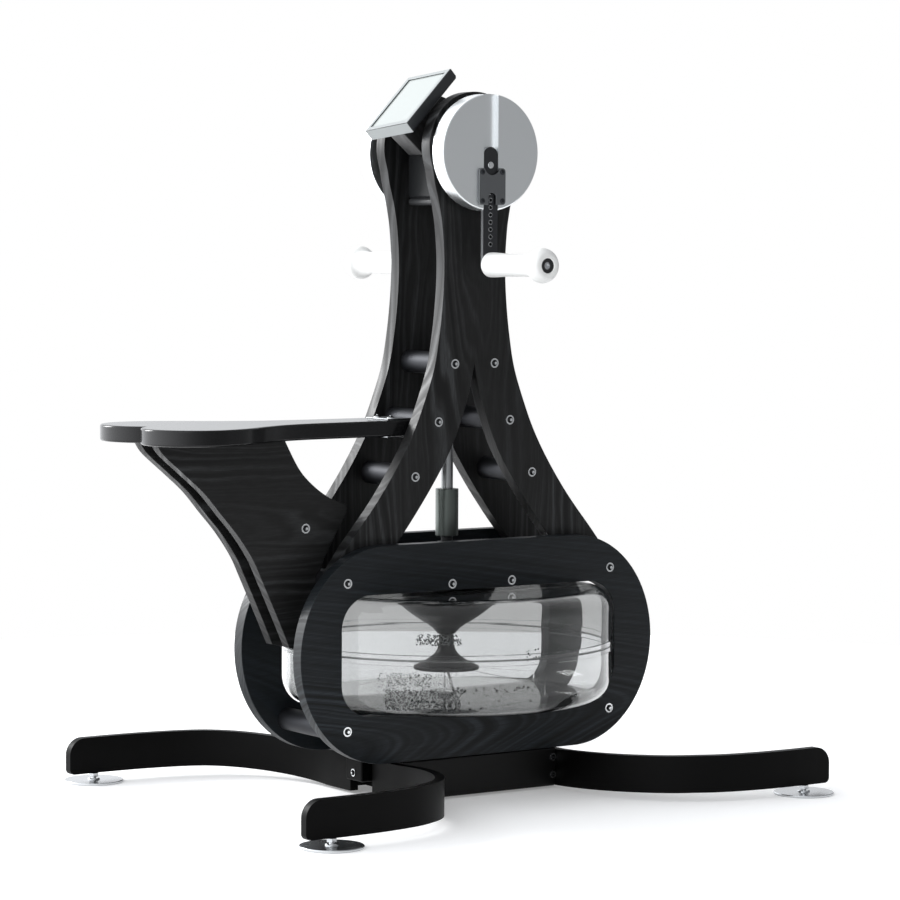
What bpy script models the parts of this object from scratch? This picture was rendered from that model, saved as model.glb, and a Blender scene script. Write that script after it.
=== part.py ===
"""Water grinder ergometer: a wooden tower with two hand cranks that turn a paddle in a clear water tank.

Metres, +Z up. The user sits at -X and faces +X, so the right side of the machine is -Y.
Every piece is one closed solid. X values are measured from the tower's centre plane,
and the whole model is then moved so that the origin lies under the middle of its box.
"""
import math

import bmesh
import bpy
from mathutils import Matrix, Vector

# Clearance between pieces that touch
FIT = 0.0003
# Running clearance, radial, between a shaft and its bore
RUNNING_FIT = 0.0003

# Lower side panels: two round-ended boards with a window for the tank
PANEL_LENGTH = 0.640
PANEL_HEIGHT = 0.3235
# An end is half an ellipse, this much shorter than a half circle
PANEL_END_SHARE = 0.91
PANEL_THICKNESS = 0.022
PANEL_OUTER_Y = 0.0947
PANEL_BOTTOM_Z = 0.0635
# The window is this much shorter than the tank's diameter and this much higher than the tank
WINDOW_OVERLAP = 0.005
WINDOW_MARGIN = 0.0078
WINDOW_CORNER_R = 0.050
PANEL_EDGE_R = 0.002

# Tower panels: round head, waist and two curved legs
TOWER_THICKNESS = 0.022
HEAD_Z = 0.975
HEAD_R = 0.083
# Outline of one side, from the head's underside down: (height, half width)
TOWER_OUTLINE = (
    (0.940, 0.0765), (0.920, 0.0730), (0.900, 0.0675), (0.880, 0.0630), (0.850, 0.0585),
    (0.800, 0.0555), (0.745, 0.0580), (0.690, 0.0645), (0.640, 0.0745), (0.580, 0.0965),
    (0.540, 0.1150), (0.500, 0.1385), (0.4600, 0.1660), (0.4300, 0.1895), (0.400, 0.2150),
    (0.3725, 0.2370), (0.345, 0.2560),
)
# Inner edge of one leg, from the fork down: (height, half width)
FORK_Z = 0.652
LEG_INNER_OUTLINE = (
    (0.600, 0.0120), (0.540, 0.0350), (0.502, 0.0550), (0.4464, 0.0925), (0.3877, 0.1380),
    (0.345, 0.1780),
)
TOWER_FOOT_Z = 0.3185
TOWER_FOOT_OUTER_X = 0.268
TOWER_FOOT_INNER_X = 0.200

# Round bars across the machine
RUNG_R = 0.017
RUNG_PLACES = {"upper": (0.0360, 0.6518), "middle": (0.0651, 0.5655), "lower": (0.1067, 0.4848)}
SPACER_X = 0.2396
SPACER_OFF_TANK = 0.02325

# Clear tank
TANK_R = 0.2515
TANK_FLANGE_STEP = 0.0025
TANK_HEIGHT = 0.1717
TANK_WALL = 0.004
TANK_SHOULDER_R = 0.032
TANK_FLANGE_H = 0.0069
TANK_SEAL_H = 0.002
TANK_PORT_R = 0.025
TANK_STEPS = 36
PIVOT_R = 0.012
PIVOT_H = 0.006

# Beam that carries the tank, and the bearing in it
BEAM_LENGTH = 0.150
BEAM_HEIGHT = 0.034
BEARING_BORE_FOOT_R = 0.0135
BEARING_FOOT_DROP = 0.0690
BEARING_NECK_R = 0.0165
BEARING_NECK_TOP_Z = 0.3780
# Flared cone under the tank's roof: (radius, drop below its rim)
BEARING_CONE = ((0.075, 0.0), (0.073, 0.006), (0.058, 0.031), (0.038, 0.049), (0.0215, 0.060))

# Rotor
SHAFT_R = 0.009
PINION_SEAT_R = 0.006
COUPLING_R = 0.0175
COUPLING_Z = (0.3876, 0.4591)
COUPLING_SLOT_W = 0.003
PADDLE_R = 0.165
PADDLE_BLADES = 6
PADDLE_BLADE_H = 0.030
PADDLE_TIP_H = 0.016
PADDLE_BLADE_T = 0.004
PADDLE_FLOOR_GAP = 0.009
PADDLE_HUB_R = 0.0115
PADDLE_CORE_R = 0.016
# Flared skirt of the hub: (radius, drop below the hub's top)
PADDLE_SKIRT = ((0.0115, 0.0130), (0.0140, 0.0220), (0.0190, 0.0295), (0.0310, 0.0385), (0.0500, 0.0480))
PADDLE_SKIRT_T = 0.004

# Crank line
CRANK_BELOW_HEAD = 0.008
AXLE_R = 0.009
DISC_R = 0.0867
DISC_FACE_Y = 0.1125
DISC_THICKNESS = 0.0275
DISC_RIM_BEVEL = 0.003
GROOVE_DEPTH = 0.008
ARM_WIDTH = 0.0255
ARM_THICKNESS = 0.007
ARM_TOP_ABOVE_CRANK = 0.008
CRANK_RADIUS = 0.167
ARM_HOLE_R = 0.0030
ARM_HOLE_PITCH = 0.0109
ARM_HOLE_COUNT = 8
ARM_HOLE_FIRST_DROP = 0.0600
ARM_TRAVEL = 0.055
CLAMP_WIDTH = 0.0475
CLAMP_HEIGHT = 0.0545
CLAMP_THICKNESS = 0.004
CLAMP_TOP_DROP = 0.0235
CLAMP_ARC_R = 0.0145
CLAMP_NOTCH_R = 0.0070
CLAMP_NOTCH_H = 0.0180
CLAMP_CORNER_R = 0.005

# Handle grips
GRIP_R = 0.0185
GRIP_WAIST_R = 0.0168
GRIP_FLARE_R = 0.0258
GRIP_LENGTH = 0.146
SPINDLE_R = 0.006
SPINDLE_HEAD_R = 0.0085
SPINDLE_HEAD_H = 0.004
GRIP_RECESS_R = 0.0110
GRIP_RECESS_DEPTH = 0.0065

# Crank bearings
BEARING_R = 0.0235
BEARING_FLANGE_R = 0.032

# Gearbox
GEARBOX_HALF_X = 0.0408
GEARBOX_ABOVE_CRANK = 0.039
GEARBOX_BELOW_CRANK = 0.0674
GEARBOX_WALL = 0.008
GEARBOX_BASE_H = 0.0105
GEARBOX_EDGE_R = 0.003
CROWN_TEETH = 24
PINION_TEETH = 12
CROWN_PITCH_R = 0.026
TEETH_FACE = 0.26
TOOTH_SHARE = 0.38

# Display, tilted back towards the user and turned on its centre screw
DISPLAY_WIDTH = 0.099
DISPLAY_HEIGHT = 0.125
DISPLAY_THICKNESS = 0.019
DISPLAY_TILT = math.radians(42.4)
DISPLAY_TURN = math.radians(9.0)
DISPLAY_X = -0.0743
DISPLAY_ABOVE_GEARBOX = 0.0401
DISPLAY_FRONT_EDGE_R = 0.001
DISPLAY_BACK_EDGE = 0.005
SCREEN_BORDER = 0.007
SCREEN_RECESS = 0.0015
DISPLAY_BOSS_R = 0.016
DISPLAY_BOSS_H = 0.003

# Display bracket: a plate behind the display on a strut from the gearbox.
# The places are (up the display's face from its screw, behind the plate's front).
BRACKET_WIDTH = 0.040
BRACKET_PLATE_T = 0.006
BRACKET_PLATE_TOP = 0.040
BRACKET_PLATE_BOTTOM = -0.050
BRACKET_NECK = 0.030
BRACKET_NOSE = (-0.049, 0.011)
BRACKET_ELBOW = (-0.044, 0.048)
BRACKET_ELBOW_DROP = 0.002
BRACKET_SEAT_LENGTH = 0.035
BRACKET_EDGE_R = 0.001

# Seat
SEAT_TOP_Z = 0.568
SEAT_THICKNESS = 0.024
SEAT_LOBE_R = 0.075
SEAT_LOBE_X = -0.480
SEAT_LOBE_Y = 0.060
# Side of the seat from the lobe to the tower: (x, half width)
SEAT_SIDE = (
    (-0.425, 0.1200), (-0.375, 0.0890), (-0.330, 0.0660), (-0.280, 0.0525), (-0.220, 0.0470),
    (-0.150, 0.0450),
)
SEAT_END_HALF = 0.0450
SEAT_EDGE_R = 0.006
SUPPORT_THICKNESS = 0.018
SUPPORT_INNER_Y = 0.015
# Front edge of a seat support from the seat down, then its rear edge upwards: (x, z)
SUPPORT_FRONT = (
    (-0.5120, 0.5272), (-0.4764, 0.4971), (-0.4452, 0.4700), (-0.4171, 0.4383),
    (-0.3890, 0.4063), (-0.3643, 0.3712), (-0.3480, 0.3385), (-0.3200, 0.2790),
)
SUPPORT_FRONT_TOP_X = -0.5240
SUPPORT_TOE = ((-0.3015, 0.2380), (-0.2790, 0.2330))
SUPPORT_REAR_LOWER = ((-0.2640, 0.2900), (-0.2590, 0.3180))
SUPPORT_HEEL = ((-0.2411, 0.3678), (-0.2022, 0.4340), (-0.2030, 0.4445), (-0.2078, 0.4473))
SUPPORT_REAR_UPPER = ((-0.2318, 0.4561), (-0.2591, 0.4744), (-0.2846, 0.5003))
SUPPORT_REAR_TOP_X = -0.3097
SUPPORT_BOLT = (-0.2740, 0.4124)
SUPPORT_SPACER_R = 0.012
CLIP_WIDTH = 0.060
CLIP_THICKNESS = 0.002
CLIP_START_X = -0.128

# Base
RAIL_HALF_LENGTH = 0.1395
RAIL_WIDTH = 0.030
RAIL_OUTER_Y = 0.0945
RAIL_BOTTOM_Z = 0.004
CROSS_X = 0.095
CROSS_WIDTH = 0.030
CROSS_Z = (0.0060, 0.0252)
SPINE_HALF_LENGTH = 0.168
SPINE_HALF_WIDTH = 0.0225
SPINE_TOP_Z = 0.0600
LEG_THICKNESS = 0.014
LEG_HEIGHT = 0.0555
LEG_BOTTOM_Z = 0.0145
LEG_ROOT_DROP = 0.0100
LEG_END_R = 0.026
# Centre line of the front left leg in plan, from its root to its end
LEG_PATH = (
    (0.1470, 0.0300), (0.1470, 0.0800), (0.1475, 0.1350), (0.1570, 0.1900), (0.1790, 0.2450),
    (0.2140, 0.2920), (0.2640, 0.3230), (0.3300, 0.3380), (0.3900, 0.3425), (0.4236, 0.3428),
    (0.4688, 0.3418),
)
LEG_STEPS = 2

# Levelling feet
FOOT_X = 0.4236
FOOT_Y = 0.3428
FOOT_R = 0.0457
FOOT_DISC_H = 0.004
STUD_R = 0.0038
STUD_TOP_Z = 0.0520
NUT_R = 0.0078
NUT_H = 0.0060
FOOT_TRAVEL = 0.012

# The tower's centre plane stands here so that the model's box is centred on the origin
SEAT_FRONT_X = SEAT_LOBE_X - SEAT_LOBE_R
TOWER_X = -(SEAT_FRONT_X + FOOT_X + FOOT_R) / 2

# Places that follow from the sizes above
WINDOW_LENGTH = 2 * TANK_R - WINDOW_OVERLAP
WINDOW_HEIGHT = TANK_HEIGHT + WINDOW_MARGIN
SPACER_RISE = TANK_HEIGHT / 2 + SPACER_OFF_TANK
TANK_FLANGE_R = TANK_R + TANK_FLANGE_STEP
CRANK_Z = HEAD_Z - CRANK_BELOW_HEAD
GEARBOX_TOP_Z = CRANK_Z + GEARBOX_ABOVE_CRANK
GEARBOX_SEAM_Z = CRANK_Z - GEARBOX_BELOW_CRANK
DISPLAY_CENTRE = (DISPLAY_X, 0.0, GEARBOX_TOP_Z + DISPLAY_ABOVE_GEARBOX)
PANEL_MID_Z = PANEL_BOTTOM_Z + PANEL_HEIGHT / 2
PANEL_INNER_Y = PANEL_OUTER_Y - PANEL_THICKNESS
TOWER_OUTER_Y = PANEL_INNER_Y - FIT
TOWER_INNER_Y = TOWER_OUTER_Y - TOWER_THICKNESS
TANK_TOP_Z = PANEL_MID_Z + TANK_HEIGHT / 2
TANK_BOTTOM_Z = PANEL_MID_Z - TANK_HEIGHT / 2
BEAM_BOTTOM_Z = TANK_TOP_Z + FIT
BEAM_TOP_Z = BEAM_BOTTOM_Z + BEAM_HEIGHT
DISC_BACK_Y = DISC_FACE_Y - DISC_THICKNESS
GROOVE_FLOOR_Y = DISC_FACE_Y - GROOVE_DEPTH
ARM_BACK_Y = GROOVE_FLOOR_Y + FIT
ARM_FACE_Y = ARM_BACK_Y + ARM_THICKNESS
GRIP_Z = CRANK_Z - CRANK_RADIUS
GRIP_START_Y = DISC_FACE_Y + FIT
GRIP_END_Y = GRIP_START_Y + GRIP_LENGTH
PINION_PITCH_R = CROWN_PITCH_R * PINION_TEETH / CROWN_TEETH
SEAT_BOTTOM_Z = SEAT_TOP_Z - SEAT_THICKNESS
SUPPORT_TOP_Z = SEAT_BOTTOM_Z - FIT
SEAT_END_X = -RUNG_PLACES["middle"][0] - RUNG_R - FIT
SUPPORT_OUTER_Y = SUPPORT_INNER_Y + SUPPORT_THICKNESS
RAIL_TOP_Z = PANEL_BOTTOM_Z - FIT


def srgb(hex_colour):
    """Linear colour of an sRGB hex value."""
    values = [int(hex_colour[i:i + 2], 16) / 255 for i in (0, 2, 4)]
    linear = [v / 12.92 if v <= 0.04045 else ((v + 0.055) / 1.055) ** 2.4 for v in values]
    return (*linear, 1.0)


MATERIALS = {
    "black_stained_ash": ("1b1c1e", 0.45, 0.0),
    "black_lacquered_wood": ("202124", 0.22, 0.0),
    "clear_polycarbonate": ("dfe6e8", 0.05, 0.0),
    "black_rubber": ("141414", 0.8, 0.0),
    "dark_steel": ("3a3d40", 0.35, 1.0),
    "bright_steel": ("b9bcbf", 0.25, 1.0),
    "satin_aluminium": ("b4bcc2", 0.3, 1.0),
    "anodised_aluminium": ("4a4d50", 0.4, 1.0),
    "white_grip": ("f2f2f0", 0.5, 0.0),
    "black_powder_coat": ("101112", 0.55, 0.0),
    "cast_housing": ("2c2e30", 0.5, 0.3),
    "black_plastic": ("17181a", 0.4, 0.0),
    "display_glass": ("dfe5e2", 0.15, 0.0),
}


def material(name):
    """The Principled BSDF material of this name, made once."""
    found = bpy.data.materials.get(name)
    if found:
        return found
    colour, roughness, metallic = MATERIALS[name]
    made = bpy.data.materials.new(name)
    made.use_nodes = True
    made.diffuse_color = srgb(colour)
    shader = made.node_tree.nodes["Principled BSDF"]
    shader.inputs["Base Color"].default_value = srgb(colour)
    shader.inputs["Roughness"].default_value = roughness
    shader.inputs["Metallic"].default_value = metallic
    return made


class Workshop:
    """Holds the collections and the pivots, and makes the named solids."""

    def __init__(self):
        for old in list(bpy.data.objects):
            bpy.data.objects.remove(old, do_unlink=True)
        self.parts = self.collection("water_grinder_ergometer")
        self.cutters = self.collection("cutters")
        self.origin = bpy.data.objects.new("tower_centre", None)
        self.origin.location = (TOWER_X, 0, 0)
        self.parts.objects.link(self.origin)
        self.crank_line = self.pivot("crank_line", (0, 0, CRANK_Z))
        self.grip_line = self.pivot("grip_line", (0, 0, GRIP_Z))
        self.display_screw = self.pivot("display_screw", DISPLAY_CENTRE)

    def collection(self, name):
        made = bpy.data.collections.new(name)
        bpy.context.scene.collection.children.link(made)
        return made

    def pivot(self, name, place):
        """An empty on a joint's axis, placed from the tower's centre."""
        empty = bpy.data.objects.new(name, None)
        empty.parent = self.origin
        empty.location = place
        self.parts.objects.link(empty)
        return empty

    def add(self, name, mesh, finish, pivot=None, smooth=True):
        """A visible part; its mesh is given from the tower's centre and hangs on its pivot."""
        mesh.name = name
        mesh.materials.clear()
        mesh.materials.append(material(finish))
        if smooth:
            mesh.shade_smooth()
            mesh.set_sharp_from_angle(angle=math.radians(35))
        part = bpy.data.objects.new(name, mesh)
        part.parent = pivot or self.origin
        if pivot:
            mesh.transform(Matrix.Translation(-Vector(pivot.location)))
        self.parts.objects.link(part)
        return part

    def cut(self, part, mesh, operation="DIFFERENCE"):
        """Apply a Boolean with a helper body that the build leaves out."""
        helper = bpy.data.objects.new(part.name + "_cutter", mesh)
        helper.parent = self.origin
        helper.hide_render = True
        helper.display_type = "WIRE"
        self.cutters.objects.link(helper)
        modifier = part.modifiers.new("cut", "BOOLEAN")
        modifier.operation = operation
        modifier.solver = "EXACT"
        modifier.object = helper

    def join(self, part, mesh):
        self.cut(part, mesh, "UNION")


def mesh_from(bm, name="shape"):
    """The finished mesh of a closed body, with its faces pointing out."""
    mesh = bpy.data.meshes.new(name)
    bmesh.ops.recalc_face_normals(bm, faces=bm.faces)
    if bm.calc_volume(signed=True) < 0:
        bmesh.ops.reverse_faces(bm, faces=bm.faces)
    bm.to_mesh(mesh)
    bm.free()
    return mesh


def bevel_edges(bm, width, segments, angle=math.radians(40)):
    """Round every edge that is sharper than the angle."""
    if width <= 0:
        return
    sharp = [e for e in bm.edges if len(e.link_faces) == 2 and e.calc_face_angle(0) > angle]
    bmesh.ops.bevel(bm, geom=sharp, offset=width, segments=segments, profile=0.5, affect="EDGES",
                    clamp_overlap=True)


def box_mesh(low, high, rounding=0.0, segments=1):
    """A box between two corners."""
    bm = bmesh.new()
    size = [h - l for l, h in zip(low, high)]
    centre = [(h + l) / 2 for l, h in zip(low, high)]
    matrix = Matrix.Translation(centre) @ Matrix.Diagonal((*size, 1))
    bmesh.ops.create_cube(bm, size=1, matrix=matrix)
    bevel_edges(bm, rounding, segments)
    return mesh_from(bm)


AXIS_TURN = {
    "X": Matrix.Rotation(math.pi / 2, 4, "Y"),
    "Y": Matrix.Rotation(-math.pi / 2, 4, "X"),
    "Z": Matrix.Identity(4),
}


def bar_mesh(radius, start, length, axis, segments=32):
    """A round bar from its start point along +axis."""
    bm = bmesh.new()
    turn = AXIS_TURN[axis]
    matrix = Matrix.Translation(start) @ turn @ Matrix.Translation((0, 0, length / 2))
    bmesh.ops.create_cone(bm, cap_ends=True, segments=segments, radius1=radius, radius2=radius,
                          depth=length, matrix=matrix)
    return mesh_from(bm)


def turned_mesh(profile, steps, place=Matrix.Identity(4), closed=True):
    """A turned shape: (radius, height) points run down the outer side, then back up the inside."""
    points = bpy.data.meshes.new("profile")
    count = len(profile)
    edges = [(i, i + 1) for i in range(count - 1)]
    if closed:
        edges.append((count - 1, 0))
    points.from_pydata([(r, 0, h) for r, h in profile], edges, [])
    helper = bpy.data.objects.new("profile", points)
    bpy.context.scene.collection.objects.link(helper)
    screw = helper.modifiers.new("turn", "SCREW")
    screw.steps = steps
    screw.render_steps = steps
    screw.use_merge_vertices = True
    screw.merge_threshold = 0.0001
    depsgraph = bpy.context.evaluated_depsgraph_get()
    mesh = bpy.data.meshes.new_from_object(helper.evaluated_get(depsgraph))
    bpy.data.objects.remove(helper)
    bm = bmesh.new()
    bm.from_mesh(mesh)
    bpy.data.meshes.remove(mesh)
    bmesh.ops.remove_doubles(bm, verts=bm.verts, dist=1e-6)
    bm.transform(place)
    return mesh_from(bm)


def board_mesh(loops, low, high, plane, rounding=0.0, segments=1, rounded=(-1, 1)):
    """A flat board: closed outlines (the first is the rim, the rest are holes) from low to high.

    In plane "XZ" the outline's points are (x, z) and the thickness runs along Y.
    In plane "XY" they are (x, y) and the thickness runs along Z.
    The rims of the faces on the given sides are rounded, -1 for the low face and 1 for the high.
    """
    curve = bpy.data.curves.new("outline", "CURVE")
    curve.dimensions = "2D"
    curve.fill_mode = "BOTH"
    curve.extrude = (high - low) / 2
    for loop in loops:
        spline = curve.splines.new("POLY")
        spline.points.add(len(loop) - 1)
        for point, (u, v) in zip(spline.points, loop):
            point.co = (u, v, 0, 1)
        spline.use_cyclic_u = True
    helper = bpy.data.objects.new("outline", curve)
    bpy.context.scene.collection.objects.link(helper)
    depsgraph = bpy.context.evaluated_depsgraph_get()
    mesh = bpy.data.meshes.new_from_object(helper.evaluated_get(depsgraph))
    bpy.data.objects.remove(helper)
    bm = bmesh.new()
    bm.from_mesh(mesh)
    bpy.data.meshes.remove(mesh)
    bmesh.ops.remove_doubles(bm, verts=bm.verts, dist=1e-6)
    if rounding > 0:
        bmesh.ops.dissolve_limit(bm, angle_limit=0.001, verts=bm.verts, edges=bm.edges)
    middle = (high + low) / 2
    across = 1 if plane == "XZ" else 2
    if plane == "XZ":
        bm.transform(Matrix.Translation((0, middle, 0)) @ Matrix.Rotation(math.pi / 2, 4, "X"))
    else:
        bm.transform(Matrix.Translation((0, 0, middle)))
    bmesh.ops.recalc_face_normals(bm, faces=bm.faces)
    if rounding > 0:
        faces = [high if side > 0 else low for side in rounded]
        rims = [e for e in bm.edges if e.calc_face_angle(0) > 0.7
                and any(all(abs(v.co[across] - face) < 1e-5 for v in e.verts) for face in faces)]
        bmesh.ops.bevel(bm, geom=rims, offset=rounding, segments=segments, profile=0.5,
                        affect="EDGES", clamp_overlap=True)
    bmesh.ops.triangulate(bm, faces=bm.faces)
    return mesh_from(bm)


def arc(centre, radius, start, end, count):
    """Points on an arc, angles in degrees, both ends included."""
    points = []
    for i in range(count + 1):
        angle = math.radians(start + (end - start) * i / count)
        points.append((centre[0] + radius * math.cos(angle), centre[1] + radius * math.sin(angle)))
    return points


def circle(centre, radius, count=12):
    return arc(centre, radius, 0, 360 * (count - 1) / count, count - 1)


def round_rectangle(centre, length, height, radius, count=8):
    """Closed outline of a rectangle with round corners."""
    half_x = length / 2 - radius
    half_z = height / 2 - radius
    points = []
    for sx, sz, start in ((1, 1, 0), (-1, 1, 90), (-1, -1, 180), (1, -1, 270)):
        middle = (centre[0] + sx * half_x, centre[1] + sz * half_z)
        points += arc(middle, radius, start, start + 90, count)
    return points


def smooth_line(points, steps):
    """Points on a smooth curve through the given ones."""
    out = []
    count = len(points)
    for i in range(count - 1):
        p0 = Vector(points[max(i - 1, 0)])
        p1 = Vector(points[i])
        p2 = Vector(points[i + 1])
        p3 = Vector(points[min(i + 2, count - 1)])
        for k in range(steps):
            t = k / steps
            point = 0.5 * (2 * p1 + (p2 - p0) * t + (2 * p0 - 5 * p1 + 4 * p2 - p3) * t * t
                           + (3 * p1 - p0 - 3 * p2 + p3) * t ** 3)
            out.append(tuple(point))
    out.append(tuple(points[-1]))
    return out


def both_sides(name, shop, make):
    """Make a piece for the right side (-Y) and for the left side (+Y)."""
    for side, sign in (("right", -1), ("left", 1)):
        make(shop, f"{name}_{side}", sign)


def span(sign, near, far):
    """The Y range of a layer that lies between two distances from the middle plane."""
    return (near, far) if sign > 0 else (-far, -near)


def side_panel(shop, name, sign):
    """Lower board with full-round ends and the tank window."""
    end_r = PANEL_HEIGHT / 2
    end_x = PANEL_LENGTH / 2 - end_r * PANEL_END_SHARE
    half_circle = arc((0, PANEL_MID_Z), end_r, -90, 90, 18)
    front_end = [(end_x + x * PANEL_END_SHARE, z) for x, z in half_circle]
    rim = front_end + [(-x, z) for x, z in reversed(front_end)]
    window = round_rectangle((0, PANEL_MID_Z), WINDOW_LENGTH, WINDOW_HEIGHT, WINDOW_CORNER_R, 6)
    low, high = span(sign, PANEL_INNER_Y, PANEL_OUTER_Y)
    mesh = board_mesh([rim, window], low, high, "XZ", PANEL_EDGE_R, rounded=(sign,))
    shop.add(name, mesh, "black_stained_ash")


def tower_panel(shop, name, sign):
    """Tall board: round head, narrow waist and two curved legs, with the bearing hole."""
    outer = smooth_line([(x, z) for z, x in TOWER_OUTLINE], 2)
    inner = smooth_line([(0, FORK_Z)] + [(x, z) for z, x in LEG_INNER_OUTLINE], 2)
    neck_x, neck_z = outer[0]
    start = math.degrees(math.atan2(neck_z - HEAD_Z, neck_x)) + 8
    head = arc((0, HEAD_Z), HEAD_R, start, 180 - start, 20)
    left = [(-x, z) for x, z in outer]
    foot_left = [(-TOWER_FOOT_OUTER_X, TOWER_FOOT_Z), (-TOWER_FOOT_INNER_X, TOWER_FOOT_Z)]
    inner_left = [(-x, z) for x, z in reversed(inner)]
    foot_right = [(TOWER_FOOT_INNER_X, TOWER_FOOT_Z), (TOWER_FOOT_OUTER_X, TOWER_FOOT_Z)]
    rim = head + left + foot_left + inner_left + inner[1:] + foot_right + outer[::-1]
    low, high = span(sign, TOWER_INNER_Y, TOWER_OUTER_Y)
    mesh = board_mesh([rim], low, high, "XZ", PANEL_EDGE_R, rounded=(sign,))
    panel = shop.add(name, mesh, "black_stained_ash")
    shop.cut(panel, bar_mesh(BEARING_R + FIT, (0, low - 0.01, CRANK_Z), high - low + 0.02, "Y", 24))


def rungs(shop):
    """Six round bars between the tower panels."""
    half = TOWER_INNER_Y - FIT
    for level, (x, z) in RUNG_PLACES.items():
        for end, sign in (("rear", -1), ("front", 1)):
            mesh = bar_mesh(RUNG_R, (sign * x, -half, z), 2 * half, "Y", 18)
            shop.add(f"rung_{level}_{end}", mesh, "dark_steel")


def spacers(shop):
    """Four round bars at the corners of the side panels."""
    levels = (("top", 1, TOWER_INNER_Y - FIT), ("bottom", -1, PANEL_INNER_Y - FIT))
    for level, up, half in levels:
        for end, sign in (("rear", -1), ("front", 1)):
            start = (sign * SPACER_X, -half, PANEL_MID_Z + up * SPACER_RISE)
            mesh = bar_mesh(RUNG_R, start, 2 * half, "Y", 18)
            shop.add(f"spacer_{level}_{end}", mesh, "dark_steel")


def tank(shop):
    """Two clear shells with a flange and a seal between them."""
    inner_r = TANK_R - TANK_WALL
    corner_r = TANK_R - TANK_SHOULDER_R
    half_seal = TANK_SEAL_H / 2
    top = TANK_TOP_Z
    flange_low = PANEL_MID_Z + half_seal + FIT
    flange_high = flange_low + TANK_FLANGE_H
    shoulder = arc((corner_r, top - TANK_SHOULDER_R), TANK_SHOULDER_R, 90, 0, 3)
    inside = arc((corner_r, top - TANK_SHOULDER_R), TANK_SHOULDER_R - TANK_WALL, 0, 90, 3)
    upper = [(TANK_PORT_R, top)] + shoulder
    upper += [(TANK_R, flange_high), (TANK_FLANGE_R, flange_high), (TANK_FLANGE_R, flange_low)]
    upper += [(inner_r, flange_low)] + inside + [(TANK_PORT_R, top - TANK_WALL)]
    shop.add("tank_upper_shell", turned_mesh(upper, TANK_STEPS), "clear_polycarbonate")

    mirror = 2 * PANEL_MID_Z
    bottom = TANK_BOTTOM_Z
    floor = bottom + TANK_WALL
    lower = [(0, floor + PIVOT_H), (PIVOT_R, floor + PIVOT_H), (PIVOT_R, floor)]
    lower += [(r, mirror - z) for r, z in reversed(inside)]
    lower += [(inner_r, mirror - flange_low), (TANK_FLANGE_R, mirror - flange_low)]
    lower += [(TANK_FLANGE_R, mirror - flange_high), (TANK_R, mirror - flange_high)]
    lower += [(r, mirror - z) for r, z in reversed(shoulder)] + [(0, bottom)]
    mesh = turned_mesh(lower, TANK_STEPS, closed=False)
    shop.add("tank_lower_shell", mesh, "clear_polycarbonate")

    seal = [(TANK_FLANGE_R, PANEL_MID_Z + half_seal), (TANK_FLANGE_R, PANEL_MID_Z - half_seal),
            (inner_r, PANEL_MID_Z - half_seal), (inner_r, PANEL_MID_Z + half_seal)]
    shop.add("tank_seal", turned_mesh(seal, TANK_STEPS), "black_rubber")


def tank_beam(shop):
    """Bar between the side panels that the tank hangs from."""
    half_y = PANEL_INNER_Y - FIT
    half_x = BEAM_LENGTH / 2
    mesh = box_mesh((-half_x, -half_y, BEAM_BOTTOM_Z), (half_x, half_y, BEAM_TOP_Z), 0.002)
    beam = shop.add("tank_beam", mesh, "black_powder_coat")
    bore = bar_mesh(TANK_PORT_R, (0, 0, BEAM_BOTTOM_Z - 0.01), BEAM_HEIGHT + 0.02, "Z", 40)
    shop.cut(beam, bore)


def shaft_bearing(shop):
    """Sleeve through the beam that flares into a cone under the tank's roof."""
    bore = SHAFT_R + RUNNING_FIT
    rim_z = TANK_TOP_Z - TANK_WALL - FIT
    port_r = TANK_PORT_R - FIT
    profile = [(bore, BEARING_NECK_TOP_Z), (BEARING_NECK_R, BEARING_NECK_TOP_Z)]
    profile += [(BEARING_NECK_R, BEAM_TOP_Z + 0.004), (port_r, BEAM_TOP_Z), (port_r, rim_z)]
    profile += [(radius, rim_z - drop) for radius, drop in BEARING_CONE]
    profile += [(BEARING_BORE_FOOT_R, rim_z - BEARING_FOOT_DROP), (bore, rim_z - BEARING_FOOT_DROP)]
    shop.add("shaft_bearing_housing", turned_mesh(profile, 20), "black_plastic")


def paddle(shop):
    """Hub with a flared skirt, radial blades and the stub shaft up to the coupling."""
    foot = TANK_BOTTOM_Z + TANK_WALL + PIVOT_H + FIT
    blade_low = TANK_BOTTOM_Z + TANK_WALL + PADDLE_FLOOR_GAP
    blade_high = blade_low + PADDLE_BLADE_H
    hub_top = TANK_TOP_Z - TANK_WALL - FIT - BEARING_FOOT_DROP - 0.002
    stub_top = COUPLING_Z[0] + 0.030
    profile = [(0, stub_top), (SHAFT_R, stub_top), (SHAFT_R, hub_top), (PADDLE_HUB_R, hub_top)]
    profile += [(radius, hub_top - drop) for radius, drop in PADDLE_SKIRT]
    rim_r, rim_drop = PADDLE_SKIRT[-1]
    rim_z = hub_top - rim_drop
    profile += [(rim_r, rim_z - PADDLE_SKIRT_T), (PADDLE_CORE_R, rim_z - PADDLE_SKIRT_T)]
    profile += [(PADDLE_CORE_R, foot), (0, foot)]
    part = shop.add("paddle", turned_mesh(profile, 16, closed=False), "black_plastic")
    blade = [(-PADDLE_R, blade_low), (PADDLE_R, blade_low), (PADDLE_R, blade_low + PADDLE_TIP_H)]
    blade += [(rim_r, blade_high), (-rim_r, blade_high), (-PADDLE_R, blade_low + PADDLE_TIP_H)]
    for i in range(PADDLE_BLADES // 2):
        mesh = board_mesh([blade], -PADDLE_BLADE_T / 2, PADDLE_BLADE_T / 2, "XZ")
        mesh.transform(Matrix.Rotation(2 * math.pi * i / PADDLE_BLADES, 4, "Z"))
        shop.join(part, mesh)


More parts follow.
